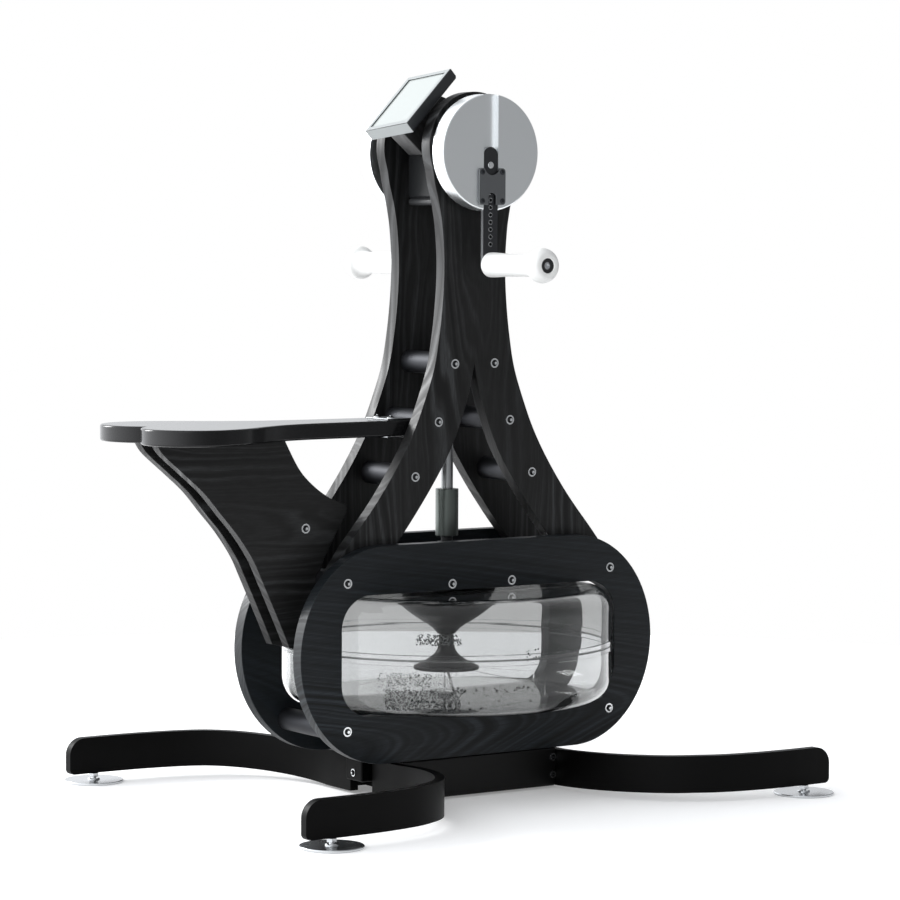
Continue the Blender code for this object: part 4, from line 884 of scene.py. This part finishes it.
class ERGO_OT_feet(ErgometerPiece, bpy.types.Operator):
    """Levelling feet: steel disc, stud and lock nut"""

    bl_idname = "ergometer.feet"
    bl_label = "Levelling feet"

    def build(self, scene):
        # Steel, turned and zinc plated: bright, with a slightly soft reflection
        zinc = plain("zinc_plated_steel", scene.ergometer_metal.bright, 0.22, 1.0)
        disc, edge, stud_r = 0.004, 0.001, 0.0038
        nut_low, nut_high, nut_r = 0.0082, 0.0142, 0.0078
        boss_top, boss_r = 0.0062, 0.0095
        for end, _ in ENDS:
            for side, _ in SIDES:
                node = f"foot_{end}_{side}"
                low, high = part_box(node)
                centre = (low + high) / 2
                radius = (high.x - low.x) / 2
                place = Matrix.Translation((centre.x, centre.y, 0))
                plate = turned([(0, disc), (radius - edge, disc), (radius, disc - edge),
                                (radius, edge), (radius - edge, 0), (0, 0)], 96, place)
                stud = bar(stud_r, high.z / 2 - disc / 4,
                           place @ Matrix.Translation((0, 0, high.z / 2 + disc / 4)), 0.0004, 24)
                nut = turned([(0, nut_high), (nut_r - 0.0012, nut_high), (nut_r, nut_high - 0.0006),
                              (nut_r, nut_low + 0.0006), (nut_r - 0.0012, nut_low), (0, nut_low)],
                             6, place)
                boss = turned([(0, boss_top), (boss_r - edge, boss_top), (boss_r, boss_top - edge),
                               (boss_r, disc / 2), (0, disc / 2)], 48, place)
                stand_in(node, gathered([plate, stud, nut, boss]), zinc,
                         f"levelling_{node}", 30)


class ERGO_OT_tank(ErgometerPiece, bpy.types.Operator):
    """Two clear shells with their flange, the seal and the droplets inside"""

    bl_idname = "ergometer.tank"
    bl_label = "Water tank"

    def build(self, scene):
        tank = scene.ergometer_tank
        # Polycarbonate, vacuum formed and polished: clear, bright at the bends
        clear = plain("clear_polycarbonate", tank.tint, 0.012, 0.0, ior=1.33,
                      transmission_weight=1.0)
        low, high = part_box("tank_upper_shell")
        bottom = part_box("tank_lower_shell")[0].z
        flange_r = (high.x - low.x) / 2
        radius = flange_r - tank.flange
        wall = tank.wall
        inner = radius - wall
        corner = (radius - tank.shoulder, high.z - tank.shoulder)
        shoulder = arc(corner, tank.shoulder, 90, 0, 20)
        inside = arc(corner, tank.shoulder - wall, 0, 90, 20)
        step, edge = tank.flange_height, 0.0006
        pivot_r, pivot_height = 0.012, 0.006
        upper = [(tank.port, high.z)] + shoulder
        upper += [(radius, low.z + step), (flange_r - edge, low.z + step),
                  (flange_r, low.z + step - edge), (flange_r, low.z), (inner, low.z)]
        upper += inside + [(tank.port, high.z - wall)]
        stand_in("tank_upper_shell", shifted(turned(upper, 160)), clear, "frame")
        floor = bottom + wall
        # The lower shell is the upper one turned over, with a pivot on its floor and no port
        lower = [(0, floor + pivot_height), (pivot_r, floor + pivot_height), (pivot_r, floor)]
        lower += [(r, high.z + bottom - z) for r, z in reversed(upper[1:-1])] + [(0, bottom)]
        stand_in("tank_lower_shell", shifted(turned(lower, 160)), clear, "frame")

        # Silicone, moulded: clear, a little milky, with dark edges where it is pressed
        rubber = plain("clear_silicone", "8a8c8c", 0.25, 0.0, ior=1.41,
                       transmission_weight=0.85)
        seal_low, seal_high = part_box("tank_seal")
        seal_r = flange_r - MM
        ring = [(seal_r, seal_high.z), (seal_r, seal_low.z), (inner, seal_low.z),
                (inner, seal_high.z)]
        stand_in("tank_seal", shifted(turned(ring, 160)), rubber, "frame")

        # Water in beads on the wall, its colour darkened to grey as painted shade so that each bead
        # shows dark, as its dark refracted edge would; each has its own small highlight
        water = plain("water_drops", "747878", 0.0, 0.0, ior=1.33, transmission_weight=1.0)
        tree = droplet_tree()
        # The side of the wall that the camera sees
        near = math.radians(-124.3)
        on_wall = inner - 0.0006
        count = tank.drops
        # Count, start and end angle from there, lowest and highest, share of the common size
        patches = (
            (count, -21, 5, 0.152, 0.182, 1.0), (count // 3, -10, 5, 0.248, 0.264, 1.0),
            (count // 3, -24, 2, 0.170, 0.206, 0.8), (24, 0, 33, 0.178, 0.186, 1.6),
            (14, 28, 34, 0.222, 0.240, 1.3), (16, 6, 30, 0.172, 0.186, 1.0),
            (count // 4, -20, -5, 0.188, 0.206, 0.8), (10, 2, 31, 0.152, 0.166, 1.7))
        beads = []
        for seed, (number, start, end, lowest, highest, size) in enumerate(patches):
            beads.append(grow("droplets", [((0, 0, 0), (0, 0, 1))], tree, {
                "Count": number, "Radius": on_wall, "Start": near + math.radians(start),
                "End": near + math.radians(end), "Low": lowest, "High": highest,
                "Drop": tank.drop * size, "Seed": 7 * seed + 3, "Material": water}))
        piece("water-droplets", shifted(gathered(beads)), water, "frame", smooth=80)


class ERGO_OT_tank_top(ErgometerPiece, bpy.types.Operator):
    """Beam between the side panels and the flared bearing housing under it"""

    bl_idname = "ergometer.tank_top"
    bl_label = "Beam and shaft bearing"

    def build(self, scene):
        coat = powder_coat("black_powder_coat", scene.ergometer_metal)
        dress(("tank_beam",), coat, "frame", 0.0006)
        # ABS, moulded: dark grey, satin
        moulded = plain("grey_abs", "222324", 0.42, specular_ior_level=0.3)
        low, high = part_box("shaft_bearing_housing")
        # A sleeve through the beam, a collar on the tank's roof, and a cone under it
        bore, sleeve_r, collar_r = 0.0093, 0.0165, 0.0247
        collar_top = 0.3494
        rim = high.z - 0.0711
        cone = [(0.075, rim), (0.0745, rim - 0.004), (0.070, rim - 0.0115), (0.058, rim - 0.031),
                (0.038, rim - 0.049), (0.0215, rim - 0.060)]
        profile = [(bore, high.z), (sleeve_r - MM, high.z), (sleeve_r, high.z - MM),
                   (sleeve_r, collar_top), (collar_r, collar_top - 0.004), (collar_r, rim)]
        profile += smooth_line(cone, 6) + [(0.0135, low.z), (bore, low.z)]
        stand_in("shaft_bearing_housing", shifted(turned(profile)), moulded, "frame")


class ERGO_OT_rotor(ErgometerPiece, bpy.types.Operator):
    """Drive shaft, split coupling, bevel pinion and the paddle in the tank"""

    bl_idname = "ergometer.rotor"
    bl_label = "Rotor"

    def build(self, scene):
        metal = scene.ergometer_metal
        # Steel bar, ground: dark grey with one narrow highlight
        ground = plain("ground_shaft_steel", "8d8f90", 0.34, 1.0)
        dress(("drive_shaft",), ground, "rotor")
        # Aluminium, turned and hard anodised: grey-green, satin
        hard = plain("hard_anodised_coupling", "565b58", 0.36, 1.0)
        dress(("shaft_coupling",), hard, "rotor", metal.break_edge)
        # Steel, cut and left bare: crisp small highlights on the teeth
        gear = plain("cut_steel_gear", metal.bright, 0.3, 1.0)
        dress(("bevel_pinion",), gear, "rotor", smooth=0)
        # ABS, moulded, as the bearing housing above it: dark grey, satin
        moulded = plain("grey_abs", "222324", 0.42, specular_ior_level=0.3)
        low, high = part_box("paddle")
        hub_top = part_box("shaft_bearing_housing")[0].z - 2 * MM
        # The hub's flared skirt: (radius, distance below its top)
        skirt = [(0.0115, 0.0), (0.0115, 0.0130), (0.0140, 0.0220), (0.0190, 0.0295),
                 (0.0310, 0.0385), (0.0500, 0.0480)]
        flared = [(r, hub_top - drop) for r, drop in skirt]
        rim_z = flared[-1][1] - 0.004
        stub_r, boss_r = 0.009, 0.016
        profile = [(0, high.z), (stub_r, high.z), (stub_r, hub_top), flared[0]]
        profile += smooth_line(flared[1:], 5) + [(flared[-1][0], rim_z), (0, rim_z)]
        piece("paddle-hub", shifted(turned(profile)), moulded, "rotor",
              ("paddle",))
        # Polypropylene, moulded thin and clear, so that the blades hardly show in the tank
        see_through = plain("clear_polypropylene", "ffffff", 0.06, 0.0, ior=1.05,
                            transmission_weight=1.0)
        bottom = low.z + 0.0027
        root, half, tip_height, root_height = 0.0155, 0.0019, 0.016, 0.030
        tip = (high.x - low.x) / 2
        side = [(root, bottom), (tip, bottom), (tip, bottom + tip_height),
                (0.050, bottom + root_height), (root, bottom + root_height)]
        blades = []
        for i in range(6):
            blade = board([side], -half, half, "XZ", 0.0005, 2)
            blade.transform(Matrix.Rotation(math.radians(60 * i), 4, "Z"))
            blades.append(blade)
        # The boss that carries them, down to the pivot
        blades.append(turned([(0, rim_z), (boss_r, rim_z), (boss_r, low.z), (0, low.z)], 48))
        piece("paddle-blades", shifted(gathered(blades)), see_through, "rotor")


class ERGO_OT_gearbox(ErgometerPiece, bpy.types.Operator):
    """Cast housing under the head, its base plate and the axle bearings"""

    bl_idname = "ergometer.gearbox"
    bl_label = "Gearbox"

    def build(self, scene):
        metal = scene.ergometer_metal
        # Aluminium, sand cast and painted dark grey: satin, without grain
        cast = plain("painted_casting", "1b1c1d", 0.42, specular_ior_level=0.12)
        dress(("gearbox_housing",), cast, "frame", 0.001)
        # The same casting, milled on its lower face and so a little lighter
        plate = plain("cast_base_plate", "2c2d2e", 0.42, specular_ior_level=0.25)
        dress(("gearbox_base_plate",), plate, "frame", 0.001)
        # Steel, turned and black oxide finished, as the rungs
        steel = plain("black_oxide_steel", "36373a", 0.52, 1.0)
        dress(("axle_bearing_right", "axle_bearing_left"), steel, "frame",
              metal.break_edge)


class ERGO_OT_crank(ErgometerPiece, bpy.types.Operator):
    """Axle, crown gear and the two grooved discs with their clamp plates"""

    bl_idname = "ergometer.crank"
    bl_label = "Crank discs"

    def build(self, scene):
        metal = scene.ergometer_metal
        crank = scene.ergometer_crank
        # Steel bar, ground and oiled: dark, with one narrow highlight
        ground = plain("ground_steel", metal.dark, 0.3, 1.0)
        dress(("crank_axle",), ground, "crank")
        # Steel, cut and left bare: crisp small highlights on the teeth
        gear = plain("cut_steel_gear", metal.bright, 0.3, 1.0)
        dress(("crown_gear",), gear, "crank", smooth=0)
        # Aluminium, faced on a lathe, bead blasted and clear anodised: an even grey sheen
        faced = plain("blasted_aluminium", metal.aluminium, 0.34, 1.0)
        # Aluminium, milled and grey anodised: satin, lighter than the arms
        plate = plain("grey_anodised_aluminium", metal.clamp, 0.42, 1.0)
        for side, sign in SIDES:
            node = f"crank_disc_{side}"
            low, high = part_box(node)
            radius = (high.x - low.x) / 2
            back, face = reach(node)
            rim, edge = crank.rim, MM
            profile = [(0, face)] + arc((radius - rim, face - rim), rim, 90, 0, 5)
            profile += arc((radius - edge, back + edge), edge, 0, -90, 2) + [(0, back)]
            mesh = turned(profile, 160, side_turn(sign, CRANK_Z))
            # The groove for the arm is cut by a box that stands past the disc
            half, past = 0.01305, 0.01
            floor, above = sorted((sign * (face - crank.groove), sign * (face + past)))
            mesh = cut(mesh, box((-half, floor, CRANK_Z - radius - past),
                                 (half, above, CRANK_Z + radius + past)))
            mesh = rounded(mesh, 0.0004, 50)
            stand_in(node, shifted(mesh), faced, "crank", 30)
            dress((f"clamp_plate_{side}",), plate, "crank", metal.break_edge)


class ERGO_OT_arms(ErgometerPiece, bpy.types.Operator):
    """Crank arms with their row of holes, the spindles and the grips"""

    bl_idname = "ergometer.arms"
    bl_label = "Arms and grips"

    def build(self, scene):
        metal = scene.ergometer_metal
        crank = scene.ergometer_crank
        # Aluminium, milled and black anodised: satin, with lighter broken edges
        black = plain("black_anodised_aluminium", metal.anodised, 0.4, 1.0)
        # Polypropylene, moulded with a fine texture: white and matt
        grip_white = plain("moulded_grip", crank.grip, 0.5, 0.0)
        # Steel bolt, zinc plated, as the feet: bright, with a slightly soft reflection
        zinc = plain("zinc_plated_steel", metal.bright, 0.22, 1.0)
        # Broken edges of the holes: bare metal, a thin bright ring round each
        bright = plain("bright_hole_rim", metal.bright, 0.2, 1.0)
        # The arms' sides were milled after anodising, so they are bare
        milled = plain("milled_aluminium", metal.bright, 0.3, 1.0)
        rims = rim_tree()
        for side, sign in SIDES:
            node = f"crank_arm_{side}"
            low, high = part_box(node)
            half = (high.x - low.x) / 2
            # The arm's own outline, and those just outside and inside its wall
            skin = 0.00015
            outline, *wall = (arc((0, high.z - half), half + s, 0, 180, 32)
                              + arc((0, low.z + half), half + s, 180, 360, 32)
                              for s in (0, skin, -skin))
            first, spacing, hole_r = CRANK_Z - 0.060, 0.0109, 0.003
            heights = [first - i * spacing for i in range(8)]
            holes = [arc((0, GRIP_Z), SPINDLE_BORE, 0, 350, 35)]
            holes += [arc((0, z), hole_r, 0, 345, 23) for z in heights]
            mesh = board([outline] + holes, low.y, high.y, "XZ", 0.0005, 2)
            body = f"arm_{side}"
            stand_in(node, shifted(mesh), black, body, 30)
            edge = board(wall, low.y + 0.0006, high.y - 0.0006, "XZ", 0.0)
            piece(f"arm-edge-{side}", shifted(edge), milled, body)
            face = sign * reach(node)[1]
            rings = grow("hole rims", [((0, face, z), (0, sign, 0)) for z in heights], rims, {
                "Hole radius": hole_r + 0.0001, "Thickness": 0.0003, "Material": bright})
            piece(f"hole-rims-{side}", shifted(rings), bright, body)
            self.grip(side, sign, crank, grip_white)
            self.spindle(side, sign, zinc)

    def grip(self, side, sign, crank, material):
        """Round grip with a slight waist, a flared end and a recess for the bolt head."""
        node = f"handle_grip_{side}"
        start, end = reach(node)
        radius, waist, flare = crank.grip_radius, crank.grip_waist, crank.grip_flare
        outside = [(flare * 0.60, end), (flare * 0.76, end - 0.0015), (flare * 0.93, end - 0.007),
                   (flare, end - 0.0145), (flare * 0.955, end - 0.0205), (waist * 1.12, end - 0.029),
                   (waist, end - 0.045), (waist, start + 0.050), (radius * 0.97, start + 0.025),
                   (radius, start + 0.010), (radius, start + 0.0015)]
        bore, recess_r, recess = SPINDLE_BORE, 0.0110, 0.0065
        profile = [(bore, end - recess), (recess_r, end - recess), (recess_r, end - 0.001),
                   (0.0120, end)]
        profile += smooth_line(outside, 6) + [(radius - 0.0015, start), (bore, start)]
        mesh = turned(profile, 96, side_turn(sign, GRIP_Z))
        stand_in(node, shifted(mesh), material, f"grip_{side}")
        # Nylon ring that lies over the rim of the bolt head: black and matt
        nylon = plain("black_nylon", "101011", 0.5)
        bolt_end = reach(f"handle_spindle_{side}")[1]
        over, under, floor = bolt_end + 0.0008, bolt_end + 0.0001, end - 0.0064
        hole_r, round_head_r, outer_r = 0.0056, 0.0088, 0.0109
        ring = [(hole_r, over), (outer_r, over), (outer_r, floor), (round_head_r, floor),
                (round_head_r, under), (hole_r, under)]
        piece(f"grip-ring-{side}", shifted(turned(ring, 64, side_turn(sign, GRIP_Z))), nylon,
              f"grip_{side}")

    def spindle(self, side, sign, material):
        """Bolt through the grip, with a hexagon socket in its head."""
        node = f"handle_spindle_{side}"
        start, end = reach(node)
        place = side_turn(sign, GRIP_Z)
        head_r, head_height, shank_r = 0.0085, 0.004, 0.006
        profile = [(0, end), (0.0068, end), (0.0081, end - 0.0006), (head_r, end - 0.0016),
                   (head_r, end - head_height), (shank_r, end - head_height), (shank_r, start),
                   (0, start)]
        socket_r, socket_floor, above = 0.0037, end - 0.0026, end + 0.002
        hexagon = [(0, above), (socket_r, above), (socket_r, socket_floor), (0, socket_floor)]
        mesh = cut(turned(profile, 48, place), turned(hexagon, 6, place))
        stand_in(node, shifted(mesh), material, f"arm_{side}", 30)


class ERGO_OT_display(ErgometerPiece, bpy.types.Operator):
    """Display housing with its bezel and screen, on the wooden bracket"""

    bl_idname = "ergometer.display"
    bl_label = "Display"

    def build(self, scene):
        wood = scene.ergometer_wood
        display = scene.ergometer_display
        # ABS, moulded: black, satin
        plastic = plain("black_abs", display.plastic, 0.3, 0.0)
        dress(("display_housing",), plastic, "display", 0.0006)
        # ABS in pale grey, moulded as a frame round the screen: matt. The same grey on the housing's
        # lower side is a painted reflection
        pale = plain("grey_bezel_abs_and_painted_sheen", display.bezel, 0.4)
        # The housing's half width and height, the bezel's border, and the depth of the side
        half_w, half_h, border, depth = 0.0495, 0.0625, 0.007, 0.019
        outer, inner = ([(sx * (half_w - inset), sy * (half_h - inset))
                         for sx, sy in ((1, 1), (-1, 1), (-1, -1), (1, -1))]
                        for inset in (MM, border + 0.5 * MM))
        bezel = board([outer, inner], -0.0002, 0.0003, "XY", 0.0002, 1)
        # The same grey on the housing's lower side is a painted reflection of the bright floor in
        # the black plastic
        lower = box((MM - half_w, -half_h - 0.0003, MM - depth),
                    (half_w - MM, 0.0005 - half_h, -MM))
        bezel = gathered([bezel, lower])
        bezel.transform(self.place())
        piece("display-bezel-and-painted-sheen", shifted(bezel), pale, "display")
        # Acrylic over an unlit reflective screen: pale green-grey and smooth
        glass = plain("display_acrylic", display.glass, 0.12)
        dress(("display_screen",), glass, "display")
        ash = stained_ash("stained_ash_bracket", (0.0, math.radians(45.0), 0.0),
                          (0.0, 0.03, 0.0), wood.stain, wood, gloss=1.0)
        dress(("display_bracket",), ash, "frame")

    def place(self):
        """From the display's own frame, +X right for its reader and +Z out of its face."""
        tilt, swivel, centre = math.radians(42.4), math.radians(9.0), (-0.0743, 0, 1.0461)
        right = Vector((0, -1, 0))
        up = Vector((math.cos(tilt), 0, math.sin(tilt)))
        out = Vector((-math.sin(tilt), 0, math.cos(tilt)))
        return (Matrix.Translation(centre) @ Matrix((right, up, out)).transposed().to_4x4()
                @ Matrix.Rotation(swivel, 4, "Z"))


class ERGO_OT_fasteners(ErgometerPiece, bpy.types.Operator):
    """Socket screws with washers, one group on each body"""

    bl_idname = "ergometer.fasteners"
    bl_label = "Screws"

    def build(self, scene):
        size = scene.ergometer_fastener
        # Stainless steel, turned: bright, with a crisp highlight
        steel = plain("stainless_steel", "eceeef", 0.18, 1.0)
        # Steel, black oxide finished: dark heads with a grey glint
        dark = plain("black_screw", "3a3c3f", 0.3, 1.0)
        # The heads are dark as a painted reflection of the dark surroundings in their domes, and
        # their middles bright steel as a painted highlight, so each shows as a ring and a dot
        black = plain("screw_head_painted_dark_reflection", "1c1d1e", 0.3, 1.0)
        tree = screw_tree()
        large, minor = [], []
        for _, sign in SIDES:
            out = (0, sign, 0)
            for end in (-1, 1):
                large += [((end * x, sign * PANEL_FACE, z), out) for x, z in PANEL_SCREWS]
                large += [((end * x, sign * TOWER_FACE, z), out) for x, z in RUNG_PLACES.values()]
                minor += [((end * x, sign * RAIL_FACE, z), out) for x, z in RAIL_SCREWS]
            large.append(((SUPPORT_SCREW[0], sign * SUPPORT_FACE, SUPPORT_SCREW[1]), out))
        clip_x, clip_y, clip_top = CLIP_SCREW
        minor += [((clip_x, y, clip_top), (0, 0, 1)) for y in (-clip_y, clip_y)]
        minor += [((way * SPINE_END, 0, SPINE_Z), (way, 0, 0)) for way in (-1, 1)]
        low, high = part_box("clamp_plate_right")
        clamp = [((x, sign * abs(low.y), z), (0, sign, 0)) for _, sign in SIDES
                 for x in (-CLAMP_SCREW[0], CLAMP_SCREW[0])
                 for z in (high.z - CLAMP_SCREW[1], low.z + CLAMP_SCREW[1])]

        # A head rises upright a little before it narrows, and its bright middle, a painted
        # highlight, stands proud
        upright, proud = 0.5 * MM, 0.7 * MM
        # Name, places, washer's radius and height, head's radius and height, the share of its
        # radius that the head keeps at its top, material, body and slot
        # The bright middles in panel-screws and base-screws are painted highlights, and the dark
        # heads in panel-screw-heads and base-screw-heads are painted reflection
        groups = [
            ("panel-screws", large, size.washer, size.washer_height, size.centre,
             size.head_height + proud, 0.93, steel, "frame", "bright_steel"),
            ("panel-screw-heads", large, size.head, size.washer_height + upright, size.head,
             size.head_height - upright, 0.66, black, "frame", "dark_steel"),
            ("base-screws", minor, 0.0058, 0.0008, 0.0016, 0.0028, 0.93, steel, "frame",
             "bright_steel"),
            ("base-screw-heads", minor, 0.0042, 0.0012, 0.0042, 0.0018, 0.66, black, "frame",
             "dark_steel"),
            ("clamp-screws", clamp, 0.0040, 0.0003, 0.0034, 0.0008, 0.66, dark, "crank",
             "anodised_aluminium")]
        groups += [(f"stop-bolt-{side}", [((0, sign * ARM_FACE, STOP_BOLT_Z), (0, sign, 0))],
                    0.0050, 0.0004, 0.0044, 0.0016, 0.93, steel, f"arm_{side}", "bright_steel")
                   for side, sign in SIDES]
        for name, places, washer, washer_h, head, head_h, share, finish, body, slot in groups:
            mesh = grow(name, places, tree, {
                "Washer radius": washer, "Washer height": washer_h, "Head radius": head,
                "Head height": head_h, "Top share": share, "Material": finish})
            piece(name, shifted(mesh), finish, body, smooth=30)


class ERGO_OT_stage(ErgometerPiece, bpy.types.Operator):
    """Pale floor, soft studio light and the camera"""

    bl_idname = "ergometer.stage"
    bl_label = "Studio"

    def build(self, scene):
        stage = scene.ergometer_stage
        self.world(scene, stage)
        floor = linked("studio floor", turned([(0, 0), (stage.floor, 0)], 128))
        # Matt white paper on the studio floor, a little over-lit as in a product photograph
        paper = plain("white_paper", "f2f2f2", 0.9, 0.0, emission_color=rgba("ffffff"),
                      emission_strength=0.22, specular_ior_level=0.0)
        floor.data.materials.append(paper)
        key = self.softbox("upper left softbox", (-2.2, 3.7, 2.3), (0.0, 0.0, 0.6), 1.8,
                           stage.softbox)
        fill = self.softbox("front fill", (-3.2, -2.6, 2.2), (0.0, 0.0, 0.5), 2.0, stage.fill)
        # Lens, place and angles were fitted to the photograph
        camera = linked("camera", bpy.data.cameras.new("camera"))
        camera.data.sensor_width = 36.0
        camera.data.lens = stage.lens
        camera.data.clip_end = 50.0
        camera.location = (-2.90178, -4.31746, 0.84533)
        camera.rotation_euler = (math.radians(90 - 3.587), math.radians(-0.25),
                                 math.radians(-34.327))
        scene.camera = camera

    def world(self, scene, stage):
        """White to the eye; its light is bright on the seat's side and falls off to the other."""
        world = bpy.data.worlds.new("studio")
        scene.world = world
        world.use_nodes = True
        tree = world.node_tree
        tree.nodes.clear()
        way = add(tree, "ShaderNodeTexCoord").outputs["Generated"]
        left = add(tree, "ShaderNodeVectorMath", {0: way, 1: (-0.8254, 0.5645, 0.0)},
                   operation="DOT_PRODUCT").outputs["Value"]
        share = add(tree, "ShaderNodeMapRange", ranges(left, -1.0, 1.0, 0.0, 1.0))
        curved = add(tree, "ShaderNodeMath", {0: share, 1: 2.2}, operation="POWER")
        light = add(tree, "ShaderNodeMapRange", ranges(curved, 0.0, 1.0, stage.dim, stage.bright))
        lit = add(tree, "ShaderNodeBackground", {"Color": rgba("fafcff"), "Strength": light})
        seen = add(tree, "ShaderNodeBackground", {"Color": rgba("ffffff"), "Strength": 1.0})
        path = add(tree, "ShaderNodeLightPath").outputs
        # What shows through the clear tank is the same white as round the object
        sight = add(tree, "ShaderNodeMath", {
            0: path["Is Camera Ray"], 1: path["Is Transmission Ray"]}, operation="MAXIMUM")
        mixed = add(tree, "ShaderNodeMixShader", {0: sight, 1: lit, 2: seen})
        add(tree, "ShaderNodeOutputWorld", {"Surface": mixed})

    def softbox(self, name, place, target, size, power):
        """A square area light that points at the target."""
        light = bpy.data.lights.new(name, "AREA")
        light.shape = "SQUARE"
        light.size = size
        light.energy = power
        obj = linked(name, light)
        obj.location = place
        way = Vector(target) - Vector(place)
        obj.rotation_euler = way.to_track_quat("-Z", "Y").to_euler()
        return obj


GROUPS = (
    ("ergometer_wood", ERGO_PG_wood), ("ergometer_metal", ERGO_PG_metal),
    ("ergometer_tank", ERGO_PG_tank), ("ergometer_fastener", ERGO_PG_fastener),
    ("ergometer_crank", ERGO_PG_crank), ("ergometer_display", ERGO_PG_display),
    ("ergometer_stage", ERGO_PG_stage),
)
OPERATORS = (
    ERGO_OT_side_panels, ERGO_OT_tower_panels, ERGO_OT_cross_bars, ERGO_OT_seat, ERGO_OT_base,
    ERGO_OT_feet, ERGO_OT_tank, ERGO_OT_tank_top, ERGO_OT_rotor, ERGO_OT_gearbox, ERGO_OT_crank,
    ERGO_OT_arms, ERGO_OT_display, ERGO_OT_fasteners, ERGO_OT_stage,
)


class ERGO_PT_panel(bpy.types.Panel):
    """Buttons for the pieces, and the sizes and colours"""

    bl_idname = "ERGO_PT_panel"
    bl_label = "Water grinder ergometer"
    bl_space_type = "VIEW_3D"
    bl_region_type = "UI"
    bl_category = "Ergometer"

    def draw(self, context):
        buttons = self.layout.column(align=True)
        for operator in OPERATORS:
            buttons.operator(operator.bl_idname)
        for name, group in GROUPS:
            values = self.layout.box().column()
            values.label(text=name.split("_")[1].capitalize())
            for key in group.__annotations__:
                values.prop(getattr(context.scene, name), key)


def register():
    for name, group in GROUPS:
        bpy.utils.register_class(group)
        setattr(bpy.types.Scene, name, PointerProperty(type=group))
    for shown in (*OPERATORS, ERGO_PT_panel):
        bpy.utils.register_class(shown)


def unregister():
    for shown in (ERGO_PT_panel, *reversed(OPERATORS)):
        bpy.utils.unregister_class(shown)
    for name, group in reversed(GROUPS):
        delattr(bpy.types.Scene, name)
        bpy.utils.unregister_class(group)


def main():
    register()
    bpy.context.scene.view_settings.view_transform = "Standard"
    for operator in OPERATORS:
        group, name = operator.bl_idname.split(".")
        getattr(getattr(bpy.ops, group), name)()


if __name__ == "__main__":
    main()
